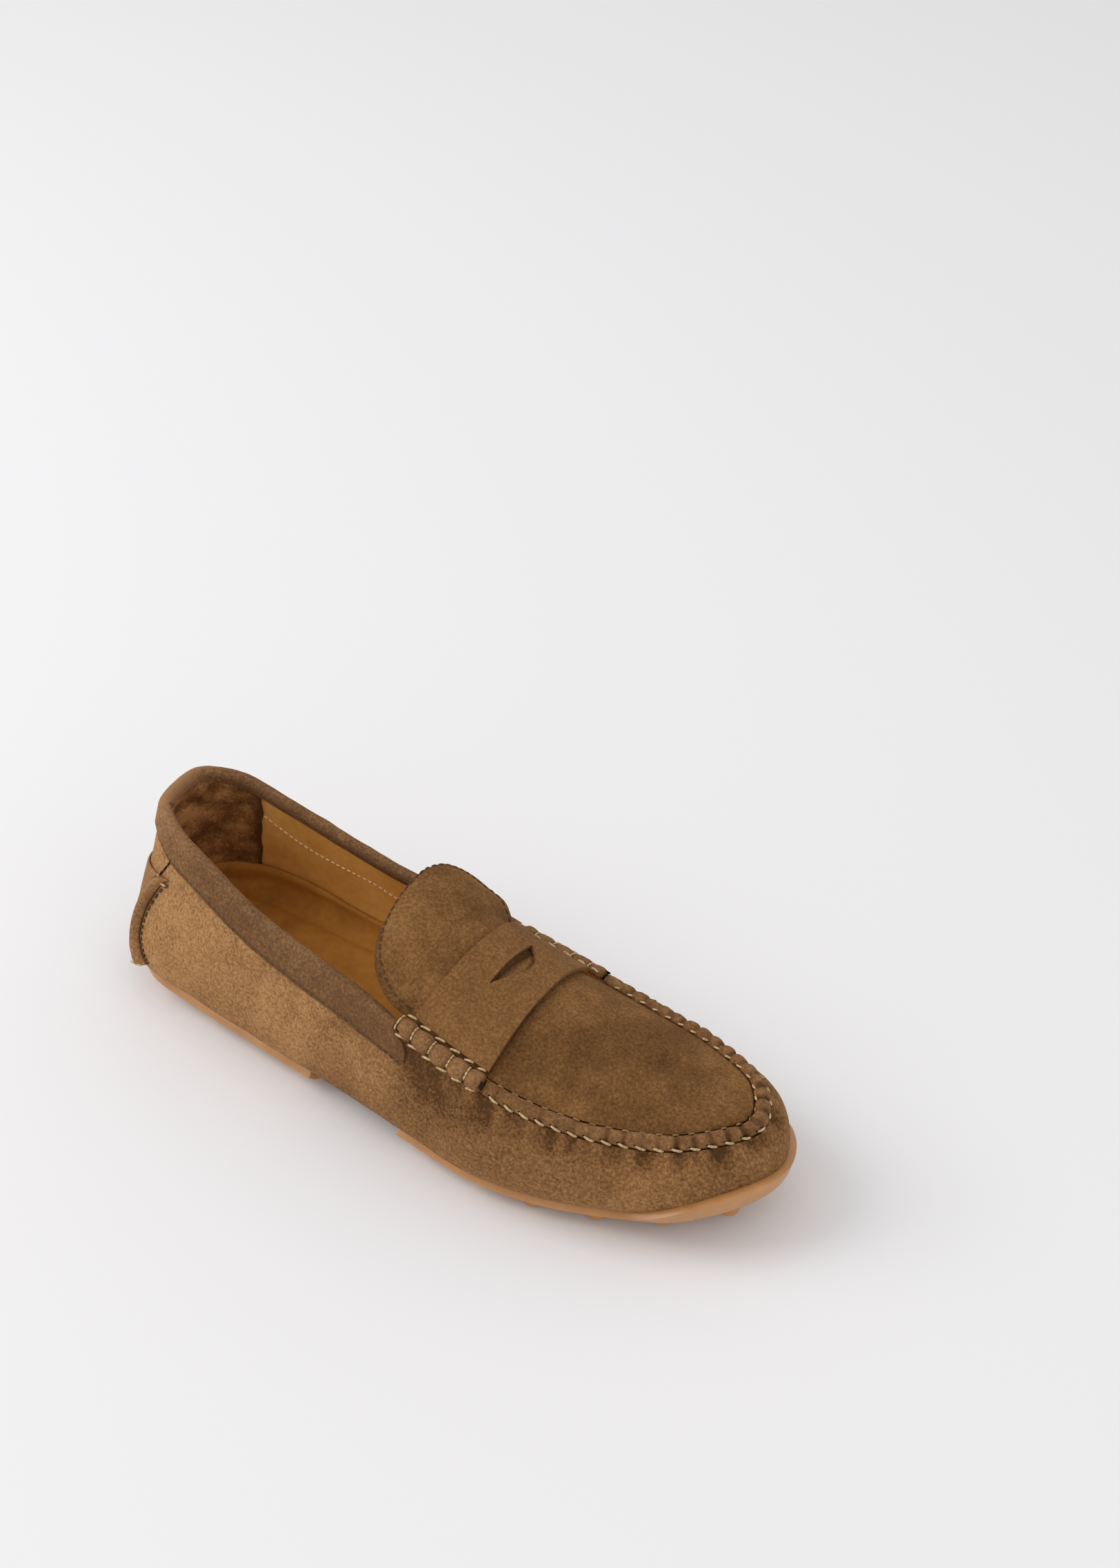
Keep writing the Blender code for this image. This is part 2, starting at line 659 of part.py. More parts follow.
def make_studs(name, first_x, last_x, material):
    """The studs of one pad, between first_x and last_x, as one cutter for it."""
    mesh = bmesh.new()
    for place in stud_places():
        if not first_x + STUD_RADIUS < place.x < last_x - STUD_RADIUS:
            continue
        pad_bottom = bottom_height(place.x) - GAP - PAD_THICKNESS
        bottom = pad_bottom - STUD_HEIGHT
        if bottom < STAND_SLACK:
            bottom = 0.0
        top = pad_bottom + PAD_THICKNESS * 0.8
        stud = bmesh.ops.create_cone(
            mesh, cap_ends=True, segments=8, radius1=STUD_RADIUS * STUD_TAPER * MM,
            radius2=STUD_RADIUS * MM, depth=(top - bottom) * MM,
            matrix=Matrix.Rotation(STUD_TURN, 4, "Z"))
        middle = in_place(Vector((place.x, place.y, (top + bottom) / 2)))
        bmesh.ops.translate(mesh, verts=stud["verts"], vec=middle)
    cutter = closed_object(name, mesh, material)
    cutter.hide_render = True
    cutter.display_type = "WIRE"
    return cutter


def rubber_pad(name, start, end, rows, first_x, last_x, material):
    """A rubber pad moulded to the wrap from start to end, places on the outer side,
    in rows up the wall, with its studs."""
    mesh = bmesh.new()
    lift = GAP + PAD_THICKNESS
    way = (start, 1.0 - start) if end == TOE else (-end, end)
    wrap_skin(mesh, shared_places(*way), lambda u: -1.0, lambda u: station("rubber", u), rows,
              lift)
    floor_skin(mesh, shared_places(start, end), lift)
    pad = sheet_object(name, mesh, material, PAD_THICKNESS)
    studded = pad.modifiers.new("studs", "BOOLEAN")
    studded.operation = "UNION"
    studded.object = make_studs(name + "_studs", first_x, last_x, material)
    return pad


def build():
    remove_old_objects()
    suede = make_material("suede", (0.22, 0.13, 0.06), 0.95)
    dark_suede = make_material("dark_suede", (0.16, 0.09, 0.04), 0.95)
    leather = make_material("leather", (0.30, 0.14, 0.04), 0.55)
    rubber = make_material("rubber", (0.50, 0.26, 0.10), 0.6)
    make_upper(suede)
    make_insole(leather)
    make_apron(suede)
    make_strap(suede)
    make_seam_ridge(suede)
    make_side_roll("side_roll_outer", OUTER, suede)
    make_side_roll("side_roll_inner", INNER, suede)
    make_collar(dark_suede)
    make_heel_patch(suede)
    make_heel_knob(rubber)
    heel_end = outline_u(FLEX_GAP_BACK)
    forefoot_start = outline_u(FLEX_GAP_FRONT)
    rubber_pad("outsole_heel", 0.0, heel_end, 3, 0.0, FLEX_GAP_BACK, rubber)
    rubber_pad("outsole_forefoot", forefoot_start, TOE, 6, FLEX_GAP_FRONT, TOE_TIP, rubber)


build()
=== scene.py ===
"""Driving moccasin, right shoe, in brushed suede on a gum rubber sole.

Built in the order it is put together: the wrap, what lines it, the apron with its
strap, the raised seam that joins them, the collar, the heel and the rubber. Sizes are
millimetres: x from heel to toe, y to the inner side of the foot, z up.
"""
import math
from functools import cache

import bmesh
import bpy
from mathutils import Matrix, Vector, noise


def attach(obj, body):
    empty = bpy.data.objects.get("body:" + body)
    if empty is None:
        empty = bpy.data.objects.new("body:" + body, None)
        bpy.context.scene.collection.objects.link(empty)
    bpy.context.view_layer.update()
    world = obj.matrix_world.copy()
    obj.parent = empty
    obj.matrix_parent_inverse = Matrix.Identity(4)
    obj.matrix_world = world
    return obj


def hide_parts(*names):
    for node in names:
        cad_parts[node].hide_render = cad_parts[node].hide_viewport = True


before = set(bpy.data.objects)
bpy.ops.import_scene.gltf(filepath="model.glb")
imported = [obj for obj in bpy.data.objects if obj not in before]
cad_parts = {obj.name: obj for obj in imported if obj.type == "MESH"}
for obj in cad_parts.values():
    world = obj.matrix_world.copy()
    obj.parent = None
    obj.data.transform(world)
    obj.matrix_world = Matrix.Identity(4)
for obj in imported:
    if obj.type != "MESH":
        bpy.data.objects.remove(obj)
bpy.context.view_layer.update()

# Studio. A pale paper floor, one broad soft lamp at the upper left, a weak fill from
# the right, and the camera where the photograph was taken from.
paper_mesh = bmesh.new()
bmesh.ops.create_grid(paper_mesh, x_segments=1, y_segments=1, size=6.0)
paper_data = bpy.data.meshes.new("paper_floor")
paper_mesh.to_mesh(paper_data)
paper_mesh.free()
paper = bpy.data.materials.new("white_paper")
paper.use_nodes = True
paper_shader = paper.node_tree.nodes["Principled BSDF"]
paper_shader.inputs["Base Color"].default_value = (0.86, 0.86, 0.875, 1.0)
paper_shader.inputs["Roughness"].default_value = 0.9
paper_data.materials.append(paper)
paper_floor = bpy.data.objects.new("paper_floor", paper_data)
bpy.context.collection.objects.link(paper_floor)


def hang_lamp(name, size, power, place, target):
    lamp = bpy.data.lights.new(name, "AREA")
    lamp.size = size
    lamp.energy = power
    thing = bpy.data.objects.new(name, lamp)
    way = Vector(target) - Vector(place)
    thing.matrix_world = (Matrix.Translation(place)
                          @ way.to_track_quat("-Z", "Y").to_matrix().to_4x4())
    bpy.context.collection.objects.link(thing)


hang_lamp("key_lamp", 1.5, 25.0, (-1.65, -0.85, 1.55), (0.0, 0.0, 0.03))
hang_lamp("fill_lamp", 1.6, 3.5, (1.5, -0.6, 1.0), (0.0, 0.0, 0.03))
sky = bpy.data.worlds.new("soft_studio")
sky.use_nodes = True
sky.node_tree.nodes["Background"].inputs["Color"].default_value = (1.0, 0.985, 0.98, 1.0)
sky.node_tree.nodes["Background"].inputs["Strength"].default_value = 0.73
bpy.context.scene.world = sky
bpy.context.scene.view_settings.view_transform = "Standard"

lens = bpy.data.cameras.new("camera")
lens.lens = 54.70
lens.sensor_width = 36.0
camera = bpy.data.objects.new("camera", lens)
camera.matrix_world = (Matrix.Translation((0.42614, -0.52083, 0.60814))
                       @ Matrix.Rotation(math.radians(35.44), 4, "Z")
                       @ Matrix.Rotation(math.radians(90.0 - 35.32), 4, "X")
                       @ Matrix.Rotation(math.radians(-0.35), 4, "Z"))
bpy.context.collection.objects.link(camera)
bpy.context.scene.camera = camera

# Wrap. One hide of thin brushed suede goes under the foot and up its sides to the
# raised seam, drawn into soft folds by its stitches. Stations run from the back of
# the heel by the outer side to the toe and home: x, y of the widest outline, its
# height, how far in and how high the top edge is, how late the wall leans in, how far
# in and how high the turn under the foot is, and how far up the rubber reaches.
MM = 0.001
ORIGIN = Vector((139.4, -2.0, 0.0))
STATION_COLUMNS = (
    "x", "y", "bulge_z", "rim_in", "rim_z", "lean", "foot_in", "foot_z", "rubber")
STATIONS = (
    (-5.5, 2.5, 15.0, 13.5, 75.0, 1.0, 10.0, 9.5, -0.72),
    (-1.2, -19.2, 15.0, 17.8, 74.0, 1.0, 11.0, 8.6, -0.68),
    (17.0, -32.8, 19.0, 19.0, 71.8, 1.2, 13.0, 7.2, -0.58),
    (46.0, -38.0, 23.0, 15.8, 68.4, 1.7, 13.0, 6.8, -0.60),
    (74.0, -41.0, 24.0, 12.8, 62.4, 1.9, 13.0, 6.6, -0.62),
    (102.0, -43.5, 23.0, 12.2, 57.6, 2.0, 13.0, 6.6, -0.62),
    (130.0, -46.2, 23.0, 10.4, 55.8, 2.2, 13.0, 6.6, -0.62),
    (158.0, -49.4, 22.0, 7.0, 52.8, 2.2, 13.0, 6.6, -0.62),
    (186.0, -52.0, 21.0, 8.6, 46.4, 2.2, 13.0, 6.8, -0.62),
    (212.0, -49.0, 21.0, 8.6, 41.6, 2.2, 13.0, 7.4, -0.60),
    (239.0, -40.5, 22.0, 8.2, 39.0, 2.2, 14.0, 8.6, -0.55),
    (265.5, -25.5, 24.0, 8.4, 38.4, 2.2, 15.0, 10.2, -0.08),
    (282.8, 2.5, 26.0, 7.4, 38.4, 2.2, 16.5, 12.4, -0.02),
    (270.4, 27.6, 26.0, 7.0, 39.2, 2.2, 16.0, 10.4, -0.18),
    (245.0, 40.0, 23.0, 9.0, 40.6, 2.2, 14.0, 8.8, -0.50),
    (216.0, 45.6, 22.0, 10.4, 41.2, 2.2, 13.0, 7.6, -0.60),
    (190.0, 48.0, 22.0, 11.4, 43.0, 2.2, 13.0, 6.8, -0.62),
    (160.0, 46.0, 23.0, 11.0, 48.4, 2.2, 13.0, 6.6, -0.62),
    (131.0, 42.8, 24.0, 8.8, 53.6, 2.2, 13.0, 6.6, -0.62),
    (103.0, 39.5, 25.0, 8.0, 55.0, 2.0, 13.0, 6.6, -0.62),
    (75.0, 38.0, 25.0, 7.6, 60.0, 1.9, 13.0, 6.6, -0.62),
    (47.0, 37.5, 22.0, 8.2, 66.2, 1.6, 13.0, 6.8, -0.60),
    (19.5, 35.6, 19.0, 8.6, 71.6, 1.2, 13.0, 7.2, -0.58),
    (0.2, 23.2, 15.0, 10.2, 74.8, 1.0, 11.0, 8.6, -0.68),
)
WALL = 2.2
GAP = 0.3
HIDE = 1.2
TOE = 0.5
OUTER, INNER = 1, -1
ROUND_STEPS = 560
STITCH_PITCH = 5.9
SEAM_HALF_WIDTH = 2.8
ROLL_FRONT = 189.0

# Deeper folds: distance along the seam from the outer roll, depth, half width, how
# far down the wall they reach as a part of it, and how far they drift forwards.
WALL_FOLDS = (
    (-30.0, 0.9, 5.0, 0.75, 22.0), (-20.0, 1.1, 4.0, 0.80, 18.0), (-9.0, 0.9, 4.5, 0.60, 14.0),
    (2.0, 1.3, 3.2, 0.55, 8.0), (14.0, 0.7, 2.6, 0.40, 4.0), (27.0, 1.0, 2.8, 0.50, 4.0),
    (36.0, 0.8, 2.4, 0.45, 3.0), (50.0, 0.9, 2.6, 0.40, 2.0), (61.0, 1.1, 2.8, 0.50, 1.0),
    (72.0, 0.8, 2.4, 0.40, 0.0), (85.0, 1.2, 2.8, 0.50, 0.0), (97.0, 0.9, 2.4, 0.40, 0.0),
    (108.0, 1.2, 2.6, 0.45, 0.0), (121.0, 1.0, 2.4, 0.40, -1.0), (134.0, 1.1, 2.6, 0.45, -1.0),
    (147.0, 0.9, 2.6, 0.40, -2.0), (162.0, 1.0, 2.8, 0.45, -3.0), (178.0, 0.8, 2.8, 0.40, -4.0),
    (194.0, 1.0, 3.0, 0.50, -5.0), (209.0, 0.8, 2.8, 0.45, -6.0), (224.0, 1.0, 3.2, 0.55, -8.0),
)


def clamp(value):
    return min(max(value, 0.0), 1.0)


def bell(distance, width):
    """1 in the middle, falling off softly on both sides."""
    return math.exp(-(distance / width)**2)


def search(high, rounds, falls_short):
    """The place between 0 and high where falls_short turns from true to false."""
    low = 0.0
    for _ in range(rounds):
        middle = (low + high) / 2
        if falls_short(middle):
            low = middle
        else:
            high = middle
    return low


def cubic(before, start, end, after, t):
    """Catmull-Rom value between start and end."""
    slope_in = (end - before) / 2
    slope_out = (after - start) / 2
    return (start * (2 * t**3 - 3 * t**2 + 1) + slope_in * (t**3 - 2 * t**2 + t)
            + end * (3 * t**2 - 2 * t**3) + slope_out * (t**3 - t**2))


@cache
def station(column, u):
    """A column of the stations at u, once round the shoe from 0 to 1."""
    place = STATION_COLUMNS.index(column)
    count = len(STATIONS)
    first = math.floor(u * count)
    values = [STATIONS[(first + k) % count][place] for k in (-1, 0, 1, 2)]
    return cubic(*values, u * count - first)


@cache
def outline(u):
    return Vector((station("x", u), station("y", u), 0.0))


@cache
def outward(u):
    ahead = outline(u + 0.004) - outline(u - 0.004)
    return Vector((ahead.y, -ahead.x, 0.0)).normalized()


def wall_point(u, v, extra=0.0):
    """The wrap's outer face: v is -1 under the foot, 0 at the bulge, 1 at the top."""
    bulge_z = station("bulge_z", u)
    if v >= 0.0:
        reach = station("rim_in", u) * v**station("lean", u)
        height = bulge_z + (station("rim_z", u) - bulge_z) * v
    else:
        turn = -v * math.pi / 2
        reach = station("foot_in", u) * (1.0 - math.cos(turn))
        height = bulge_z - (bulge_z - station("foot_z", u)) * math.sin(turn)
    point = outline(u) - outward(u) * reach + Vector((0.0, 0.0, height))
    if extra:
        point = point + wall_normal(u, v) * extra
    return point


def wall_normal(u, v):
    step = 0.004
    along = wall_point(u + step, v) - wall_point(u - step, v)
    up = wall_point(u, min(v + step, 1.0)) - wall_point(u, max(v - step, -1.0))
    return along.cross(up).normalized()


@cache
def apron_edge(u):
    """The apron's edge, a seam's width in from the wrap's top edge."""
    across = 2 * (SEAM_HALF_WIDTH + GAP)
    return wall_point(u, 1.0) - outward(u) * across + Vector((0.0, 0.0, across * 0.42))


def seam_middle(u):
    return (wall_point(u, 1.0) + apron_edge(u)) / 2


@cache
def side_u(x, side):
    """The place on the way round, on one side, where the seam's middle is at x."""
    def place(way):
        return way if side == OUTER else 1.0 - way

    return place(search(TOE, 30, lambda way: seam_middle(place(way)).x < x))


def step_place(way):
    """Steps are closer at the toe and the heel than along the sides."""
    return way - 0.4 * math.sin(4 * math.pi * way) / (4 * math.pi)


def pick(places, s):
    """What stands at the share s of a list."""
    return places[round(s * (len(places) - 1))]


def shared_places(start, end, steps=ROUND_STEPS):
    """Places on the way round that keep to the wrap's own steps."""
    margin = 0.2 / steps
    inside = [step_place(k / steps) for k in range(-steps, steps + 1)]
    return [start, *(u for u in inside if start + margin < u < end - margin), end]


# Distance along the seam from the back of the heel, at even places round the shoe.
SEAM_RUN_STEPS = 1000
SEAM_RUN = [0.0]
for step in range(SEAM_RUN_STEPS):
    SEAM_RUN.append(SEAM_RUN[-1] + (seam_middle((step + 1) / SEAM_RUN_STEPS)
                                    - seam_middle(step / SEAM_RUN_STEPS)).length)


def seam_run(u):
    """Distance along the seam from the outer roll's front end to u."""
    place = min(max(u, 0.0), 0.9999) * SEAM_RUN_STEPS
    first = int(place)
    way = SEAM_RUN[first] + (SEAM_RUN[first + 1] - SEAM_RUN[first]) * (place - first)
    start = int(side_u(ROLL_FRONT, OUTER) * SEAM_RUN_STEPS)
    return way - SEAM_RUN[start]


@cache
def run_u(run):
    """The place on the way round at a distance along the seam."""
    return search(1.0, 24, lambda u: seam_run(u) < run)


def soft_noise(point, size):
    return noise.noise(point / size)


def wrap_relief(u, v):
    """Folds and softness of the wrap's face, in millimetres off its smooth shape."""
    point = wall_point(u, v)
    relief = 0.35 * soft_noise(point, 22.0) + 0.16 * soft_noise(point, 8.0)
    run = seam_run(u % 1.0)
    seam_end = seam_run(side_u(ROLL_FRONT, INNER))
    if v > 0.0:
        inside = clamp((run + 4.0) / 8.0) * clamp((seam_end + 4.0 - run) / 8.0)
        number = math.floor(run / STITCH_PITCH)
        depth = 0.30 + 0.30 * abs(soft_noise(Vector((number * 3.7, 1.3, 0.2)), 1.7))
        wave = math.cos(2 * math.pi * run / STITCH_PITCH)
        relief -= inside * depth * (0.5 + 0.5 * wave) * max(v - 0.45, 0.0)**1.5 * 3.2
        for start, depth, width, reach, drift in WALL_FOLDS:
            low = 1.0 - reach
            if v > low:
                part = (v - low) / reach
                off = (run - start - drift * (1.0 - v)) / (width * (1.5 - 0.5 * part))
                relief -= depth * math.exp(-off * off) * math.sin(part * math.pi / 2)**1.4 * (
                    0.75 if v > 0.97 else 1.0)
    return relief


def shoe_frame(point):
    """From these millimetres to the shoe's own frame in metres."""
    return (point - ORIGIN) * MM


def grid_sheet(mesh, along_steps, across_steps, place, tone=None):
    """A grid whose corner at s, t goes to place(s, t); tone keeps a shade with it."""
    shade = mesh.verts.layers.float.get("tone") or mesh.verts.layers.float.new("tone")
    made = bmesh.ops.create_grid(
        mesh, x_segments=along_steps, y_segments=across_steps, size=0.5)
    for vert in made["verts"]:
        s, t = vert.co.x + 0.5, vert.co.y + 0.5
        vert.co = shoe_frame(place(s, t))
        if tone:
            vert[shade] = tone(s, t)
    return made["verts"]


def weld(mesh, near=0.02):
    bmesh.ops.remove_doubles(mesh, verts=mesh.verts, dist=near * MM)


def open_edges(mesh):
    return [edge for edge in mesh.edges if edge.is_boundary]


def add_piece(name, mesh, material, replaced=(), wall=0.0, rounded=0.0, merge=0.02):
    """Finishes a piece: closed seams, smooth shading, its wall and its rounded edges."""
    if merge:
        weld(mesh, merge)
        bmesh.ops.dissolve_degenerate(mesh, edges=mesh.edges, dist=merge * MM)
    data = bpy.data.meshes.new(name)
    mesh.to_mesh(data)
    mesh.free()
    data.materials.append(material)
    data.shade_smooth()
    thing = bpy.data.objects.new(name, data)
    bpy.context.collection.objects.link(thing)
    if wall:
        data.set_sharp_from_angle(angle=math.radians(50))
        thickness = thing.modifiers.new("wall", "SOLIDIFY")
        thickness.thickness = wall * MM
        thickness.offset = -1.0
    if rounded:
        edge = thing.modifiers.new("rounded_edges", "BEVEL")
        edge.width = rounded * MM
        edge.segments = 3
        edge.limit_method = "ANGLE"
        edge.angle_limit = math.radians(50)
        edge.harden_normals = False
    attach(thing, "root")
    if replaced:
        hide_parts(*replaced)
    return thing


def blank_material(name):
    """A new material, with its nodes, its shader and the piece's own coordinates."""
    material = bpy.data.materials.new(name)
    material.use_nodes = True
    tree = material.node_tree
    place = tree.nodes.new("ShaderNodeTexCoord").outputs["Object"]
    return material, tree, tree.nodes["Principled BSDF"], place


def pattern(tree, place, scale, detail, roughness=0.5, distortion=0.0):
    made = tree.nodes.new("ShaderNodeTexNoise")
    made.inputs["Scale"].default_value = scale
    made.inputs["Detail"].default_value = detail
    made.inputs["Roughness"].default_value = roughness
    made.inputs["Distortion"].default_value = distortion
    tree.links.new(place, made.inputs["Vector"])
    return made.outputs["Fac"]


def weigh(tree, value, factor, added):
    """The value times the factor, and what is added to it."""
    made = tree.nodes.new("ShaderNodeMath")
    made.operation = "MULTIPLY_ADD"
    tree.links.new(value, made.inputs[0])
    made.inputs[1].default_value = factor
    if isinstance(added, float):
        made.inputs[2].default_value = added
    else:
        tree.links.new(added, made.inputs[2])
    return made.outputs[0]


def colour_by(tree, shader, value, first, last, *between):
    """Colours the surface by a value, through stops of a place and a colour each."""
    ramp = tree.nodes.new("ShaderNodeValToRGB")
    for element, (stop, colour) in zip(ramp.color_ramp.elements, (first, last)):
        element.position = stop
        element.color = (*colour, 1.0)
    for stop, colour in between:
        ramp.color_ramp.elements.new(stop).color = (*colour, 1.0)
    tree.links.new(value, ramp.inputs["Fac"])
    tree.links.new(ramp.outputs["Color"], shader.inputs["Base Color"])


def roughen(tree, shader, height, strength, depth):
    bump = tree.nodes.new("ShaderNodeBump")
    bump.inputs["Strength"].default_value = strength
    bump.inputs["Distance"].default_value = depth * MM
    tree.links.new(height, bump.inputs["Height"])
    tree.links.new(bump.outputs["Normal"], shader.inputs["Normal"])


def suede(name, dark, middle, pale, blotch=0.5, marks=0.32, nap=1.8, painted_shading_and_tone=0.6, sheen=0.08):
    """Brushed suede: brush marks and blotches over a fine nap, with painted shade and painted
    highlight from each piece's tone.
    """
    material, tree, shader, place = blank_material(name)
    fine = pattern(tree, place, 900.0, 3.0, 0.8)
    brushed = pattern(tree, place, 340.0, 4.0, 0.65, 0.8)
    clouds = pattern(tree, place, 42.0, 3.0, 0.5, 0.4)
    tone = weigh(tree, clouds, blotch, 0.5 - (blotch + marks + nap) / 2)
    tone = weigh(tree, brushed, marks, tone)
    tone = weigh(tree, fine, nap, tone)
    # The tone attribute carries each piece's painted shade and painted light, and on the apron
    # also its uneven brushing
    kept = tree.nodes.new("ShaderNodeAttribute")
    kept.attribute_name = "tone"
    tone = weigh(tree, kept.outputs["Fac"], painted_shading_and_tone, tone)
    colour_by(tree, shader, tone, (0.0, dark), (0.95, pale), (0.5, middle))
    roughen(tree, shader, weigh(tree, brushed, 0.5, fine), 0.75, 0.5)
    shader.inputs["Roughness"].default_value = 0.95
    shader.inputs["Specular IOR Level"].default_value = 0.15
    shader.inputs["Sheen Weight"].default_value = sheen
    shader.inputs["Sheen Roughness"].default_value = 0.6
    shader.inputs["Sheen Tint"].default_value = (*pale, 1.0)
    return material


# Painted shade in the relief's folds and hollows, and a painted highlight on its rises
def painted_fold_shade(relief):
    return min(max(relief / 1.6, -1.0), 0.5)


def painted_wrap_light(point):
    """Painted light and shade on the wrap: paler at the heel where the light falls, painted shade
    under the side roll, paler low towards the toe.
    """
    heel = clamp((172.0 - point.x) / 100.0)
    roll = bell(point.x - 165.0, 36.0) * clamp((point.z - 8.0) / 26.0)
    low = bell(point.x - 232.0, 34.0) * clamp((26.0 - point.z) / 14.0)
    return 0.36 * heel - 0.22 * roll + 0.22 * low - 0.05


wrap_suede = suede("wrap_suede", (0.080, 0.034, 0.010), (0.250, 0.121, 0.044),
                   (0.465, 0.255, 0.103))
wrap_mesh = bmesh.new()
wrap_places = shared_places(0.0, 1.0)
floor_places = shared_places(0.0, TOE)
WRAP_ROWS, FLOOR_ROWS = 44, 16


def wrap_face(u, v):
    return wall_point(u, v, wrap_relief(u, v))


# The wrap's tone: painted shade in its folds, and painted light and shade along it
def wrap_painted_shading(s, t):
    u, v = pick(wrap_places, s), 2.0 * t - 1.0
    return painted_fold_shade(wrap_relief(u, v)) + painted_wrap_light(wall_point(u, v))


def wrap_floor_place(s, t):
    u = pick(floor_places, s)
    return wrap_face((1.0 - u) % 1.0, -1.0).lerp(wrap_face(u, -1.0), t)


grid_sheet(wrap_mesh, len(wrap_places) - 1, WRAP_ROWS,
           lambda s, t: wrap_face(pick(wrap_places, s), 2.0 * t - 1.0), wrap_painted_shading)
grid_sheet(wrap_mesh, len(floor_places) - 1, FLOOR_ROWS, wrap_floor_place)
add_piece("wrap", wrap_mesh, wrap_suede, ["upper"], wall=HIDE, rounded=0.3)

# Linings. Thin tan leather behind the wrap from the toe back to a little before the
# heel, with one row of fine cream stitches below the collar, and a rougher, wrinkled
# pocket of suede round the heel whose cut edge stands over it, with painted shade along
# that edge as a dark wavy line.
LINING = 0.7
HEEL_LINING = 0.8
HEEL_LINING_END = {OUTER: 0.101, INNER: -0.101}
LINING_STEPS, LINING_ROWS = 280, 26
HEEL_LINING_COLUMNS, HEEL_LINING_ROWS = 130, 60
LINING_ROW_STEPS = 900
LINING_ROW = ((0.904, 0.69), (0.868, 0.50), (0.828, 0.44), (0.810, 0.36), (0.78, 0.34),
              (0.74, 0.34))


def smooth_leather(name, dark, pale, grain=0.12, gloss=0.42):
    """Smooth vegetable leather: clouds of tone, fine pores, a low gloss."""
    material, tree, shader, place = blank_material(name)
    clouds = pattern(tree, place, 55.0, 5.0, distortion=0.6)
    creases = pattern(tree, place, 320.0, 3.0)
    pores = tree.nodes.new("ShaderNodeTexVoronoi")
    pores.inputs["Scale"].default_value = 900.0
    tree.links.new(place, pores.inputs["Vector"])
    tone = weigh(tree, creases, 0.35, weigh(tree, clouds, 0.65, 0.0))
    colour_by(tree, shader, tone, (0.3, dark), (0.7, pale))
    roughen(tree, shader, weigh(tree, creases, 0.6, pores.outputs["Distance"]), 0.5, grain)
    shader.inputs["Roughness"].default_value = gloss
    shader.inputs["Specular IOR Level"].default_value = 0.3
    return material


lining_leather = smooth_leather("lining_leather", (0.70, 0.335, 0.070), (0.95, 0.530, 0.150))
lining_mesh = bmesh.new()
lining_places = shared_places(0.0, 1.0, LINING_STEPS)


def lining_relief(u, v):
    point = wall_point(u, v)
    return 0.25 * soft_noise(point, 14.0) + 0.12 * soft_noise(
        Vector((point.x / 3, point.y, point.z * 2)), 6.0)


def lining_place(s, t):
    u, v = pick(lining_places, s), -0.9 + 1.88 * t
    return wall_point(u, v, -HIDE - 0.1 + min(wrap_relief(u, v), 0.0)
                      + min(lining_relief(u, v), 0.0) * 0.5)


grid_sheet(lining_mesh, len(lining_places) - 1, LINING_ROWS, lining_place)
add_piece("lining", lining_mesh, lining_leather, ["upper"], wall=LINING)

heel_lining_suede = suede("heel_lining_suede", (0.110, 0.046, 0.012), (0.270, 0.125, 0.038),
                          (0.520, 0.270, 0.100), painted_shading_and_tone=1.1)
heel_lining_mesh = bmesh.new()


def heel_lining_uv(s, t):
    v = 0.06 + 0.92 * t
    wave = 0.0006 * math.sin(t * 11.0) + 0.0004 * math.sin(t * 27.0 + 1.0)
    low, high = (HEEL_LINING_END[side] + side * (wave - 0.017 * (1.0 - t))
                 for side in (INNER, OUTER))
    return low + (high - low) * s, v


def heel_lining_relief(u, v):
    point = wall_point(u, v)
    stretched = Vector((point.x, point.y, point.z * 1.6))
    return (0.8 * soft_noise(stretched, 9.0) + 0.45 * soft_noise(stretched, 4.0)
            + 1.1 * max(soft_noise(stretched + Vector((40.0, 0.0, 0.0)), 16.0), 0.0))


def heel_lining_place(s, t):
    u, v = heel_lining_uv(s, t)
    return wall_point(u, v, -(HIDE + LINING + 0.25) - heel_lining_relief(u, v) * 0.5)


# The pocket's tone: painted shade in its wrinkles and painted highlight on their rises, with
# painted shade along its cut edge
grid_sheet(heel_lining_mesh, HEEL_LINING_COLUMNS, HEEL_LINING_ROWS, heel_lining_place,
           lambda s, t: painted_fold_shade(0.9 * heel_lining_relief(*heel_lining_uv(s, t))
                                    - 1.5 * math.exp(-min(s, 1.0 - s) * 60.0)))
add_piece("heel_lining", heel_lining_mesh, heel_lining_suede, ["upper"],
          wall=HEEL_LINING, rounded=0.3)


def thread_cord(name, colour, deep):
    """Waxed thread, dull, with its twist as a fine change of colour and height."""
    material, tree, shader, place = blank_material(name)
    twist = pattern(tree, place, 1300.0, 2.0)
    colour_by(tree, shader, twist, (0.32, deep), (0.6, colour))
    roughen(tree, shader, twist, 0.5, 0.15)
    shader.inputs["Roughness"].default_value = 0.75
    shader.inputs["Specular IOR Level"].default_value = 0.15
    return material


def lay_stitch(mesh, start, end, up, thickness, bow):
    """One stitch from start to end: a short thread that dips in at both ends."""
    made = bmesh.ops.create_uvsphere(mesh, u_segments=6, v_segments=6, radius=1.0)
    along = end - start
    side = along.cross(up).normalized()
    for vert in made["verts"]:
        t = vert.co.z
        ring = math.sqrt(max(1.0 - t * t, 1e-9))
        girth = thickness / 2 * math.sqrt(max(1.0 - t**4, 0.0)) / ring
        point = ((start + end) / 2 + along * (t / 2) + side * (vert.co.x * girth)
                 + up * (vert.co.y * girth + bow * (1.0 - t * t)))
        vert.co = shoe_frame(point)


cream_thread = thread_cord("cream_thread", (0.64, 0.48, 0.26), (0.36, 0.235, 0.105))
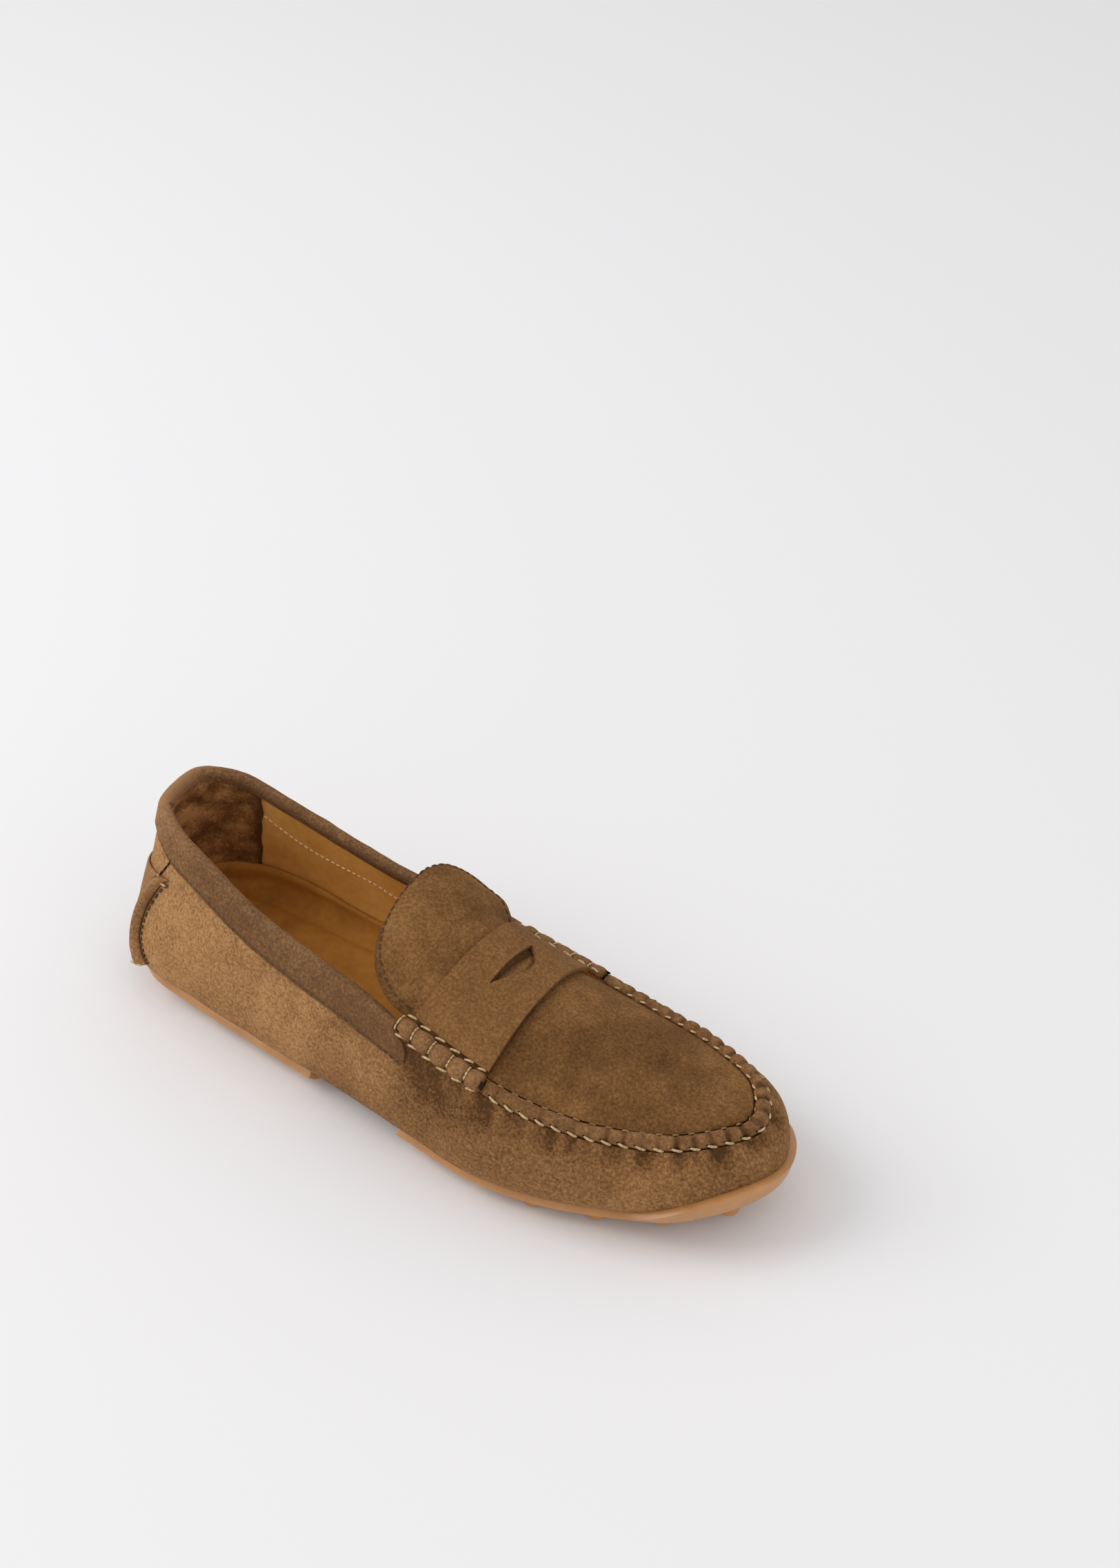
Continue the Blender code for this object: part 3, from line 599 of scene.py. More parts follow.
# A darker copy of the cream thread: painted shade for the inner row on the near side, turned from
# the light
thread_in_painted_shade = thread_cord("thread_in_painted_shade", (0.36, 0.22, 0.105), (0.17, 0.095, 0.040))
fine_thread = thread_cord("fine_thread", (0.95, 0.78, 0.50), (0.80, 0.58, 0.30))
brown_thread = thread_cord("brown_thread", (0.120, 0.070, 0.035), (0.050, 0.028, 0.014))


def along_table(table, position, place):
    """A column of a table at a position between its rows."""
    last = len(table) - 1
    first = min(int(position), last - 1)
    values = [table[min(max(first + k, 0), last)][place] for k in (-1, 0, 1, 2)]
    return cubic(*values, position - first)


def table_pair(table, share):
    """Both columns of a table at a share of its length."""
    return [along_table(table, share * (len(table) - 1), place) for place in (0, 1)]


def lay_chain(mesh, points, up, thickness, bow):
    for start, end in zip(points, points[1:]):
        lay_stitch(mesh, start, end, up, thickness, bow)


def running_row(mesh, places, apart, long, thickness, bow):
    """A running row of stitches along places, each a point and the way up from it."""
    walked, last_point, stitch_from = 0.0, None, None
    for point, up in places:
        walked += (point - last_point).length if last_point else 0.0
        last_point = point
        if stitch_from is None and walked > apart:
            stitch_from, walked = point, 0.0
        elif stitch_from is not None and walked > long:
            lay_stitch(mesh, stitch_from, point, up, thickness, bow)
            stitch_from, walked = None, 0.0


def lining_row_place(side, share):
    u, v = table_pair(LINING_ROW, share)
    u = u if side == INNER else 1.0 - u
    return wall_point(u, v, -(HIDE + LINING + 0.2)), -wall_normal(u, v)


lining_row_mesh = bmesh.new()
for side in (INNER, OUTER):
    running_row(lining_row_mesh, [lining_row_place(side, step / LINING_ROW_STEPS)
                                  for step in range(LINING_ROW_STEPS)], 0.5, 1.9, 0.52, 0.18)
add_piece("lining_stitches", lining_row_mesh, fine_thread, ["upper"], merge=0.0)

# Footbed. A padded sock of smooth tan leather, thick under the foot, its thin edge
# turned up against the lining and ending in a small rolled lip.
FOOTBED_EDGE = 1.6
FOOTBED_MIDDLE = 4.5
FOOTBED_SIDE_ROWS, FOOTBED_FLOOR_ROWS = 16, 14
FOOTBED_COLUMNS = 2 * FOOTBED_SIDE_ROWS + FOOTBED_FLOOR_ROWS
FOOTBED_STEPS = 150


def height_v(u, z):
    """How far up the wall, as v, its face is z above the floor."""
    bulge_z, foot_z = station("bulge_z", u), station("foot_z", u)
    if z >= bulge_z:
        return (z - bulge_z) / (station("rim_z", u) - bulge_z)
    return -math.asin(min((bulge_z - z) / (bulge_z - foot_z), 1.0)) / (math.pi / 2)


def footbed_point(s, t, upper):
    column = round(t * FOOTBED_COLUMNS)
    way = step_place(s * 0.5)
    u = way if column <= FOOTBED_COLUMNS // 2 else 1.0 - way
    row = min(column, FOOTBED_COLUMNS - column)
    under = WALL + GAP + 0.3
    lift_edge = under + (FOOTBED_EDGE if upper else 0.0)
    lift_middle = under + (FOOTBED_MIDDLE if upper else 0.0)
    if row <= FOOTBED_SIDE_ROWS:
        part = clamp((outline(u).x - 45.0) / 40.0)
        edge = max(height_v(u, 26.0 - 6.0 * part + 0.5 * soft_noise(outline(u), 12.0)), -0.15)
        part = row / FOOTBED_SIDE_ROWS
        v = edge + (-1.0 - edge) * part
        lip = 0.35 * bell(row - 0.8, 0.7) if upper else 0.0
        rest = 0.35 * soft_noise(wall_point(u, v), 16.0) if upper else 0.0
        return wall_point(u, v, -(lift_edge + (lift_middle - lift_edge) * part**2 + lip + rest))
    outer = wall_point(way, -1.0, -lift_middle)
    inner = wall_point(1.0 - way, -1.0, -lift_middle)
    point = outer.lerp(inner, (column - FOOTBED_SIDE_ROWS) / FOOTBED_FLOOR_ROWS)
    if upper:
        point.z += 0.4 * soft_noise(point, 18.0)
    return point


footbed_leather = smooth_leather("footbed_leather", (0.34, 0.138, 0.018), (0.56, 0.245, 0.038),
                                 grain=0.18, gloss=0.8)
footbed_mesh = bmesh.new()
grid_sheet(footbed_mesh, FOOTBED_STEPS, FOOTBED_COLUMNS, lambda s, t: footbed_point(s, t, True))
grid_sheet(footbed_mesh, FOOTBED_STEPS, FOOTBED_COLUMNS,
           lambda s, t: footbed_point(1.0 - s, t, False))
weld(footbed_mesh)
bmesh.ops.bridge_loops(footbed_mesh, edges=open_edges(footbed_mesh))
bmesh.ops.recalc_face_normals(footbed_mesh, faces=footbed_mesh.faces)
add_piece("footbed", footbed_mesh, footbed_leather, ["insole"])

# Apron. The suede plug over the toes, arched over the foot and carried back as the
# free tongue, whose cut edge has one row of brown stitches close in.
APRON = 1.8
TONGUE_START = 152.0
APRON_STEPS, APRON_COLUMNS = 230, 90
TONGUE_ROW_STEPS = 400

# The strap's opening as the apron feels it: its back, its reach forwards, half its width
CUT_BACK, CUT_REACH, CUT_HALF_WIDTH = 172.0, 6.3, 13.7
CROWN_COLUMNS = ("x", "z", "side")
CROWN = (
    (124.0, 84.4, 0.58), (136.0, 81.6, 0.57), (150.0, 76.0, 0.56), (165.0, 69.0, 0.55),
    (180.0, 63.0, 0.54), (200.0, 57.4, 0.53), (222.0, 52.2, 0.52), (245.0, 47.2, 0.51),
    (260.0, 44.2, 0.50), (274.0, 41.6, 0.50),
)
# The free tongue's two edges, outer and inner x, y, z, from the seam's end to the tip
TONGUE = (
    (144.5, -36.3, 61.6, 146.0, 32.0, 61.0), (137.5, -33.4, 66.2, 140.5, 30.0, 66.4),
    (132.0, -28.0, 70.4, 135.5, 27.0, 72.3), (128.6, -20.5, 74.2, 131.8, 22.2, 78.0),
    (127.0, -12.0, 78.0, 129.2, 16.5, 82.2), (126.5, -3.5, 81.2, 127.6, 9.5, 84.0),
)


@cache
def crown_value(x, column):
    """Height or side of the apron's ridge line at x."""
    rows = len(CROWN) - 1
    index = max((k for k in range(rows) if CROWN[k][0] <= x), default=0)
    part = (x - CROWN[index][0]) / (CROWN[index + 1][0] - CROWN[index][0])
    return along_table(CROWN, index + clamp(part), CROWN_COLUMNS.index(column))


@cache
def apron_line(along):
    """The apron's two edges: along is 0 where the tongue frees, 1 at the toe, -1 at
    the tongue's end."""
    start = side_u(TONGUE_START, OUTER)
    start_inner = side_u(TONGUE_START, INNER)
    if along >= 0.0:
        return (apron_edge(start + (TOE - start) * along),
                apron_edge(start_inner + (TOE - start_inner) * along))
    root = (*apron_edge(start), *apron_edge(start_inner))
    table = (root, *TONGUE)
    values = [along_table(table, -along * (len(table) - 1), k) for k in range(6)]
    return Vector(values[:3]), Vector(values[3:])


def apron_point(along, across, extra=0.0):
    """The apron's upper face, arched between its edges."""
    outer, inner = apron_line(along)
    point = outer.lerp(inner, across)
    x = (outer.x + inner.x) / 2
    side = crown_value(x, "side")
    crown = max(crown_value(x, "z") - outer.lerp(inner, side).z, 0.0)
    crown *= min((inner - outer).length / 12.0, 1.0)
    way = across**(math.log(0.5) / math.log(side))
    point.z += crown * (1.0 - abs(2 * way - 1.0)**2.2)
    if extra:
        point = point + apron_normal(along, across) * extra
    return point


def apron_normal(along, across):
    step = 0.01
    forward = apron_point(min(along + step, 1.0), across) - apron_point(along - step, across)
    side = (apron_point(along, min(across + step, 1.0))
            - apron_point(along, max(across - step, 0.0)))
    return forward.cross(side).normalized()


def cut_depth(point):
    """How far inside the strap's opening a point of the apron is; below zero outside."""
    front = CUT_BACK + CUT_REACH * (1.0 - (point.y / CUT_HALF_WIDTH)**2)
    return min(point.x - CUT_BACK, front - point.x)


def apron_brushing_and_painted_shade(point):
    """Brushed unevenly, with a painted shadow along the strap's front edge and the back of its
    cut, and painted light inside the opening.
    """
    ahead = point.x - (187.6 + 0.6 * math.cos(point.y / 18.0) - 2.0 * max(point.y, 0.0) / 30.0)
    strap_edge_painted_shadow = 0.7 * bell(ahead, 1.3) + 0.25 * math.exp(-max(ahead, 0.0) / 4.0) * (ahead > 0.0)
    cut_painted_shadow = 1.1 * bell(point.x - CUT_BACK - 0.6, 1.3) * (abs(point.y) < CUT_HALF_WIDTH + 0.8)
    brushed = (0.55 * soft_noise(point + Vector((0.0, 31.0, 0.0)), 19.0)
               + 0.30 * soft_noise(point, 7.0))
    return brushed - strap_edge_painted_shadow - cut_painted_shadow + 0.2 * (cut_depth(point) > 0.0)


def tongue_shade(along, across):
    """The tongue's cut edge is handled and fuzzy, darker as far in as its stitches."""
    from_side = min(across, 1.0 - across) * 62.0
    from_tip = (along + 1.0) * 26.0
    edge = math.exp(-(min(from_side, from_tip) / 2.6)**4)
    return 0.18 * (along < -0.1) - 0.50 * edge * (along < 0.02)


def apron_relief(along, across):
    """Softness, a dent ahead of the strap, and a low rise pressed up into its opening."""
    point = apron_point(along, across)
    calm = min(min(across, 1.0 - across, max(1.0 - along, 0.0) * 1.5) / 0.12, 1.0)
    pressed_up = 0.9 * math.sin(min(max(cut_depth(point) - 0.3, 0.0) / 2.4, 1.0) * math.pi / 2)
    dent = -0.9 * math.exp(-((point.x - 214.0) / 9.0)**2 - ((point.y + 12.0) / 16.0)**2)
    return pressed_up + calm * (0.6 * soft_noise(point + Vector((7.0, 3.0, 0.0)), 24.0) + dent
                                + 0.30 * soft_noise(point, 9.0))


apron_suede = suede("apron_suede", (0.080, 0.035, 0.010), (0.176, 0.081, 0.0255),
                    (0.305, 0.152, 0.052), painted_shading_and_tone=0.5)
apron_mesh = bmesh.new()


def apron_face(s, t):
    return apron_point(2 * s - 1.0, t, apron_relief(2 * s - 1.0, t))


def apron_flesh_side(s, t):
    """The back of the hide, which stays under its face where the tongue's tip curls."""
    inwards = apron_normal(2 * s - 1.0, t)
    inwards.x *= 0.3
    return apron_point(2 * s - 1.0, t) - inwards.normalized() * APRON


def apron_rim(s, across, t):
    return apron_face(s, across).lerp(apron_flesh_side(s, across), t)


# The apron's tone: painted shade in its folds, painted shadows at the strap, its brushing and the
# tongue's darker edge
def apron_tone(s, t):
    along = 2 * s - 1.0
    return (painted_fold_shade(apron_relief(along, t)) + apron_brushing_and_painted_shade(apron_point(along, t))
            + tongue_shade(along, t))


grid_sheet(apron_mesh, APRON_STEPS, APRON_COLUMNS, apron_face, apron_tone)
grid_sheet(apron_mesh, APRON_STEPS, APRON_COLUMNS, apron_flesh_side)
for side in (0.0, 1.0):
    grid_sheet(apron_mesh, APRON_STEPS, 1, lambda s, t: apron_rim(s, side, t))
grid_sheet(apron_mesh, APRON_COLUMNS, 1, lambda s, t: apron_rim(0.0, s, t))
weld(apron_mesh)
bmesh.ops.recalc_face_normals(apron_mesh, faces=apron_mesh.faces)
add_piece("apron_tongue", apron_mesh, apron_suede, ["apron"], rounded=0.3)



def tongue_edge_place(way):
    """Close inside the tongue's edge: up one side, round the tip and down the other."""
    if way < 0.36:
        along, across = -way / 0.36, 0.035 + 0.035 * (way / 0.36)
    elif way > 0.64:
        back = (1.0 - way) / 0.36
        along, across = -back, 0.965 - 0.035 * back
    else:
        along, across = -0.965, 0.07 + 0.86 * (way - 0.36) / 0.28
    point = apron_point(max(along, -0.965), across, 0.05 + apron_relief(along, across))
    return point, apron_normal(along, across)


tongue_row_mesh = bmesh.new()
running_row(tongue_row_mesh,
            [tongue_edge_place(step / (TONGUE_ROW_STEPS - 1)) for step in range(TONGUE_ROW_STEPS)],
            0.6, 2.2, 0.7, 0.12)
add_piece("tongue_stitches", tongue_row_mesh, brown_thread, ["apron"], merge=0.0)

# Strap. A suede saddle across the instep with a straight cut and a rounded point as
# its opening; its two ends go under the side rolls and are sewn in with them.
STRAP = 1.8
STRAP_SEAT = 0.5
STRAP_ROWS, STRAP_COLUMNS = 44, 96
ROLL_HALF_WIDTH = 4.4
STRAP_BACK = (155.0, 159.0, 155.0)
STRAP_FRONT = (188.0, 186.6, 182.0)
CUT_OUT = ((172.3, -13.9), (175.0, -8.6), (176.9, -4.1), (178.0, -0.8), (178.3, 2.1),
           (177.9, 5.4), (176.8, 8.1), (174.4, 11.0), (171.1, 13.5))


@cache
def along_of_x(x):
    start = side_u(TONGUE_START, OUTER)
    return (side_u(x, OUTER) - start) / (TOE - start)


def strap_edge(edge, across):
    outer, middle, inner = (along_of_x(x) for x in edge)
    bend = middle - (outer + inner) / 2
    return outer + (inner - outer) * across + bend * (1.0 - (2 * across - 1.0)**2)


def strap_point(s, t, extra):
    """The strap's upper face: s from back edge to front edge, t across the instep."""
    back, front = strap_edge(STRAP_BACK, t), strap_edge(STRAP_FRONT, t)
    along = back + (front - back) * s
    outer, inner = apron_line(along)
    inset = (ROLL_HALF_WIDTH - SEAM_HALF_WIDTH - 0.3) / (inner - outer).length
    return apron_point(along, inset + (1.0 - 2 * inset) * t, extra)


def strap_relief(s, t):
    point = strap_point(s, t, 0.0)
    return (0.35 * soft_noise(point + Vector((50.0, 9.0, 0.0)), 24.0)
            + 0.14 * soft_noise(point, 8.0))


strap_suede = suede("strap_suede", (0.098, 0.043, 0.014), (0.200, 0.093, 0.030),
                    (0.330, 0.168, 0.063))
strap_mesh = bmesh.new()
# The strap's tone: painted shade in its folds and painted highlight on its rises
grid_sheet(strap_mesh, STRAP_ROWS, STRAP_COLUMNS,
           lambda s, t: strap_point(s, t, STRAP_SEAT + STRAP + strap_relief(s, t)),
           lambda s, t: painted_fold_shade(strap_relief(s, t)))
cut_corners = [shoe_frame(Vector((x, y, 60.0))) for x, y in CUT_OUT]
cut_edges = list(zip(cut_corners, cut_corners[1:] + cut_corners[:1]))
middle_cut = sum(cut_corners, Vector()) / len(cut_corners)
for corner, following in cut_edges:
    square = Vector((following.y - corner.y, corner.x - following.x, 0.0)).normalized()
    near = [f for f in strap_mesh.faces
            if (f.calc_center_median().xy - middle_cut.xy).length < 0.019]
    parts = {v for f in near for v in f.verts} | {e for f in near for e in f.edges} | set(near)
    bmesh.ops.bisect_plane(strap_mesh, geom=list(parts), dist=1e-7, plane_co=corner,
                           plane_no=square)


def inside_cut(point):
    for corner, following in cut_edges:
        edge = following - corner
        if edge.x * (point.y - corner.y) - edge.y * (point.x - corner.x) < 0.0:
            return False
    return True


opened = [f for f in strap_mesh.faces if inside_cut(f.calc_center_median())]
bmesh.ops.delete(strap_mesh, geom=opened, context="FACES")
add_piece("strap_saddle", strap_mesh, strap_suede, ["strap"], wall=STRAP,
          rounded=0.45)

# Seam. The wrap's edge is gathered up to the apron's edge in a raised, puckered ridge
# and stitched by hand through both: a bright row outside, and a finer one inside whose
# thread is darker on the near side, as painted shade, and bright on the far one.
SEAM_RISE = 2.6
OUTER_ROW_ANGLE, INNER_ROW_ANGLE = math.radians(4.0), math.radians(158.0)
FAR_SHARE = 0.56


def seam_frame(u):
    """Middle of the seam, with the directions across it (outwards) and up off it."""
    ahead = (seam_middle(u + 0.004) - seam_middle(u - 0.004)).normalized()
    across = (wall_point(u, 1.0) - apron_edge(u)).normalized()
    up = ahead.cross(across).normalized()
    if up.z < 0:
        up = -up
    return seam_middle(u), across, up


def seam_place(u, angle, lift=0.0):
    """A point on the ridge's smooth section, at an angle from its outer side."""
    middle, across, up = seam_frame(u)
    rise = SEAM_RISE if math.sin(angle) > 0 else 0.8
    return (middle + across * ((SEAM_HALF_WIDTH + lift) * math.cos(angle))
            + up * ((rise + lift) * math.sin(angle)))


def seam_pucker(u, angle):
    """How far the ridge is drawn in at its stitches, more round the toe."""
    run = seam_run(u)
    number = math.floor(run / STITCH_PITCH + 0.5)
    toe = bell(run - 112.0, 55.0)
    pull = bell(run - number * STITCH_PITCH, 0.8 + 0.3 * abs(math.sin(number * 2.3)))
    outer = 0.5 + 0.5 * math.cos(angle)
    depth = (0.38 + 0.95 * toe) * (0.55 + 0.45 * outer) * (0.7 + 0.3 * math.sin(number * 1.7))
    point = seam_place(u, angle)
    return (-depth * pull + (0.28 + 0.15 * toe) * soft_noise(point, 3.0)
            + 0.2 * soft_noise(point, 9.0))


seam_start, seam_end = side_u(ROLL_FRONT + 1.0, OUTER), side_u(ROLL_FRONT + 1.0, INNER)
SEAM_STEPS, SEAM_SIDES = 900, 18
seam_suede = suede("seam_suede", (0.098, 0.044, 0.016), (0.205, 0.100, 0.039),
                   (0.350, 0.185, 0.080), painted_shading_and_tone=0.8, sheen=0.1)
seam_mesh = bmesh.new()


def close_tube(mesh):
    """Joins a tube's long edges and fills its ends, which are returned."""
    weld(mesh)
    ends = bmesh.ops.holes_fill(mesh, edges=open_edges(mesh), sides=0)["faces"]
    bmesh.ops.recalc_face_normals(mesh, faces=mesh.faces)
    return ends


def ridge_place(s, t):
    u = seam_start + (seam_end - seam_start) * s
    angle = 2 * math.pi * (round(t * SEAM_SIDES) % SEAM_SIDES) / SEAM_SIDES
    return seam_place(u, angle, seam_pucker(u, angle))


# The ridge's tone: painted shade where its stitches draw it in
grid_sheet(seam_mesh, SEAM_STEPS, SEAM_SIDES, ridge_place,
           lambda s, t: painted_fold_shade(1.5 * seam_pucker(
               seam_start + (seam_end - seam_start) * s, 2 * math.pi * t)))
close_tube(seam_mesh)
add_piece("seam_gathers", seam_mesh, seam_suede, ["seam_ridge"])

# Near-black painted shade for needle holes, the heel piece's slits and the side rolls' open mouths
hole_painted_shade = suede("hole_shade_painted", (0.012, 0.007, 0.004), (0.022, 0.013, 0.007),
                   (0.040, 0.024, 0.012), sheen=0.0)
outer_row_mesh, inner_row_mesh, far_row_mesh, holes_mesh = (bmesh.new() for _ in range(4))


# A flat lens on the surface, dressed in the near-black painted shade of a hole
def needle_hole(mesh, place, up, width):
    made = bmesh.ops.create_uvsphere(mesh, u_segments=8, v_segments=4, radius=1.0)
    turn = Vector((0.0, 0.0, 1.0)).rotation_difference(up).to_matrix()
    for vert in made["verts"]:
        flat = Vector((vert.co.x * width, vert.co.y * width, vert.co.z * width * 0.35))
        vert.co = shoe_frame(place + turn @ flat)


def seam_lift(u, angle):
    return (seam_place(u, angle, 1.0) - seam_place(u, angle)).normalized()


seam_length = seam_run(seam_end)
for number in range(1, int(seam_length / STITCH_PITCH)):
    at = number * STITCH_PITCH
    start_u, end_u = run_u(at - 1.9), run_u(at + 1.9)
    start = seam_place(start_u, OUTER_ROW_ANGLE + math.radians(26.0), 0.1)
    end = seam_place(end_u, OUTER_ROW_ANGLE - math.radians(12.0), 0.1)
    lift = seam_lift(start_u, OUTER_ROW_ANGLE)
    lay_stitch(outer_row_mesh, start, end, lift, 1.05, 0.3)
    for place in (start, end):
        needle_hole(holes_mesh, place - lift * 0.15, lift, 0.52)
    start = seam_place(run_u(at - 1.3), INNER_ROW_ANGLE, 0.0)
    end = seam_place(run_u(at + 1.3), INNER_ROW_ANGLE + math.radians(12.0), 0.0)
    lift = seam_lift(start_u, INNER_ROW_ANGLE)
    # On the near side the inner row takes the darker thread as painted shade
    far = at > FAR_SHARE * seam_length
    lay_stitch(far_row_mesh if far else inner_row_mesh, start, end, lift,
               0.9 if far else 0.7, 0.12)
    needle_hole(holes_mesh, end - lift * 0.12, lift, 0.4)
for name, mesh, material in (("seam_outer_stitches", outer_row_mesh, cream_thread),
                             ("seam_inner_stitches", inner_row_mesh, thread_in_painted_shade),
                             ("seam_far_stitches", far_row_mesh, cream_thread),
                             ("seam_needle_holes", holes_mesh, hole_painted_shade)):
    add_piece(name, mesh, material, ["seam_ridge"], merge=0.0)

# Side rolls. Over each end of the seam the strap's end is wound into a tight roll of
# suede, drawn in by four cross stitches, outlined by a row on each side and left open
# at its front end. The far one is pressed flatter.
ROLL_BACK = 151.5
ROLL_RISE = 5.2
ROLL_LOBES = 5
ROLL_STEPS, ROLL_SIDES = 110, 22
ROLL_HEIGHT = {OUTER: 1.0, INNER: 0.62}
ROLL_ROW_STITCHES, ROLL_ROW_PITCH = 6, 0.165
roll_suede = suede("roll_suede", (0.100, 0.046, 0.017), (0.210, 0.102, 0.040),
                   (0.350, 0.185, 0.080), painted_shading_and_tone=0.9)


def roll_waist(s):
    """0 at each cross stitch and 1 between them."""
    return abs(math.sin(s * ROLL_LOBES * math.pi))


def roll_size(s):
    ends = min(1.0, math.sqrt(max(s, 0.0) / 0.10 + 0.10), math.sqrt((1.0 - s) / 0.04 + 0.45))
    return (0.64 + 0.32 * roll_waist(s)**0.6) * ends


def roll_place(u_start, u_end, s, angle, lift=0.0):
    """A point on a roll: angle 0 is its wall side, pi its apron side."""
    middle, across, up = seam_frame(u_start + (u_end - u_start) * s)
    size = roll_size(s)
    width = ROLL_HALF_WIDTH * max(size, 0.66) * (0.8 if math.cos(angle) < 0 else 1.0)
    height = (ROLL_RISE - 0.7) * size * ROLL_HEIGHT[OUTER if u_start < TOE else INNER]
    if math.sin(angle) < 0:
        width, height = width * 0.62, 1.1
    return (middle + across * ((width + lift) * math.cos(angle))
            + up * (0.7 + (height + lift) * math.sin(angle)))


for name, side, node, slot in (("side_roll_near", OUTER, "side_roll_outer", "suede_roll"),
                               ("side_roll_far", INNER, "side_roll_inner", "suede_roll_inner")):
    u_start, u_end = side_u(ROLL_BACK, side), side_u(ROLL_FRONT, side)
    roll_mesh = bmesh.new()

    def wound_place(s, t):
        angle = 2 * math.pi * (round(t * ROLL_SIDES) % ROLL_SIDES) / ROLL_SIDES
        ripple = 0.22 * soft_noise(roll_place(u_start, u_end, s, angle), 3.5)
        return roll_place(u_start, u_end, s, angle, ripple)

    # The roll's tone: painted shade in its waists, where the cross stitches draw it in
    grid_sheet(roll_mesh, ROLL_STEPS, ROLL_SIDES, wound_place,
               lambda s, t: min(roll_waist(s)**0.5, 0.8) - 0.7)
    front_middle = shoe_frame(seam_middle(u_end))
    front = min(close_tube(roll_mesh),
                key=lambda face: (face.calc_center_median() - front_middle).length)
    bmesh.ops.inset_region(roll_mesh, faces=[front], thickness=0.9 * MM, use_even_offset=True)
    ahead = (seam_middle(u_end) - seam_middle(u_start)).normalized()
    bmesh.ops.translate(roll_mesh, verts=front.verts, vec=-ahead * 3.0 * MM)
    # The sunk front face carries painted shade for the open end
    shade = roll_mesh.verts.layers.float["tone"]
    for vert in front.verts:
        vert[shade] = -1.6
    add_piece(name, roll_mesh, roll_suede, [node])

    row_mesh = bmesh.new()
    for k in range(1, ROLL_LOBES):
        s = k / ROLL_LOBES
        places = [roll_place(u_start, u_end, s + 0.006 * math.cos(a), a, 0.25)
                  for a in (math.radians(d) for d in (32, 62, 92, 122, 148))]
        for start, end in zip(places, places[1:]):
            lift = ((start + end) / 2 - seam_middle(u_start + (u_end - u_start) * s)).normalized()
            lay_stitch(row_mesh, start, end, lift, 0.8, 0.1)
    for k in range(ROLL_ROW_STITCHES):
        for across_off, up_off in ((0.92 * ROLL_HALF_WIDTH, 1.3),
                                   (-0.8 * ROLL_HALF_WIDTH - 0.1, 2.9)):
            ends = []
            for part, slant in ((0.03, 0.45), (0.134, -0.45)):
                part += k * ROLL_ROW_PITCH
                middle, across, up = seam_frame(u_start + (u_end - u_start) * part)
                ends.append(middle + across * (across_off + slant) + up * up_off)
            lift = (up * 2.0 + across * math.copysign(1.0, across_off)).normalized()
            lay_stitch(row_mesh, *ends, lift, 0.95, 0.3)
    behind = (seam_middle(u_start) - seam_middle(u_end)).normalized()
    back_ring = [roll_place(u_start, u_end, 0.0, math.radians(d), 0.6) + behind * 0.3
                 for d in (0, 60, 120, 180)]
    lay_chain(row_mesh, back_ring, behind, 0.9, 0.15)
    add_piece(name + "_stitches", row_mesh, cream_thread, [node], merge=0.0)
    # A near-black spot of painted shade in the roll's open mouth
    mouth_mesh = bmesh.new()
    mouth = roll_place(u_start, u_end, 0.985, math.radians(62.0), -0.1)
    needle_hole(mouth_mesh, mouth, (mouth - seam_middle(u_end)).normalized(), 1.5)
    add_piece(name + "_mouth_painted_shade", mouth_mesh, hole_painted_shade, [node], merge=0.0)

# Collar. A folded band of darker, fuzzier suede bound over the wrap's top edge, sewn
# down along its lower edge, with its front ends tucked under the side rolls.
BAND_DEPTH = 9.5
BAND_INSIDE = 2.6
BAND = 1.2
BAND_OUTER_ROWS, BAND_TOP_ROWS, BAND_INNER_ROWS = 14, 10, 6
BAND_END_STEPS = 8
BAND_ROW_STEPS = 2400
band_rows = BAND_OUTER_ROWS + BAND_TOP_ROWS + BAND_INNER_ROWS
band_ends = {side: (side_u(ROLL_BACK - 1.0, side), side_u(ROLL_BACK + 7.0, side))
             for side in (OUTER, INNER)}
band_places = shared_places(band_ends[INNER][0] - 1.0, band_ends[OUTER][0])


def wall_up(u):
    return (wall_point(u, 1.0) - wall_point(u, 0.97)).normalized()


def band_end_u(side, row):
    """The band's inner leg stops behind the side roll, its outer leg runs on below."""
    short, far = band_ends[side]
    part = row / BAND_OUTER_ROWS
    if part > 1.0:
        return short
    if part < 0.9:
        reach = math.sqrt(max(1.0 - (2.2 * part - 0.9)**2 / 1.7, 0.0))
    else:
        reach = 0.3 * (1.0 - part) / 0.1
    return short + (far - short) * reach


def band_relief(u, row):
    point = wall_point(u, 1.0) + Vector((0.0, 0.0, row * 0.8))
    turned_in = -1.05 * bell(row, 2.4) - 0.20 * bell(row - 1.6, 0.8)
    return turned_in + 0.25 * soft_noise(point, 11.0) + 0.12 * soft_noise(point, 3.5)


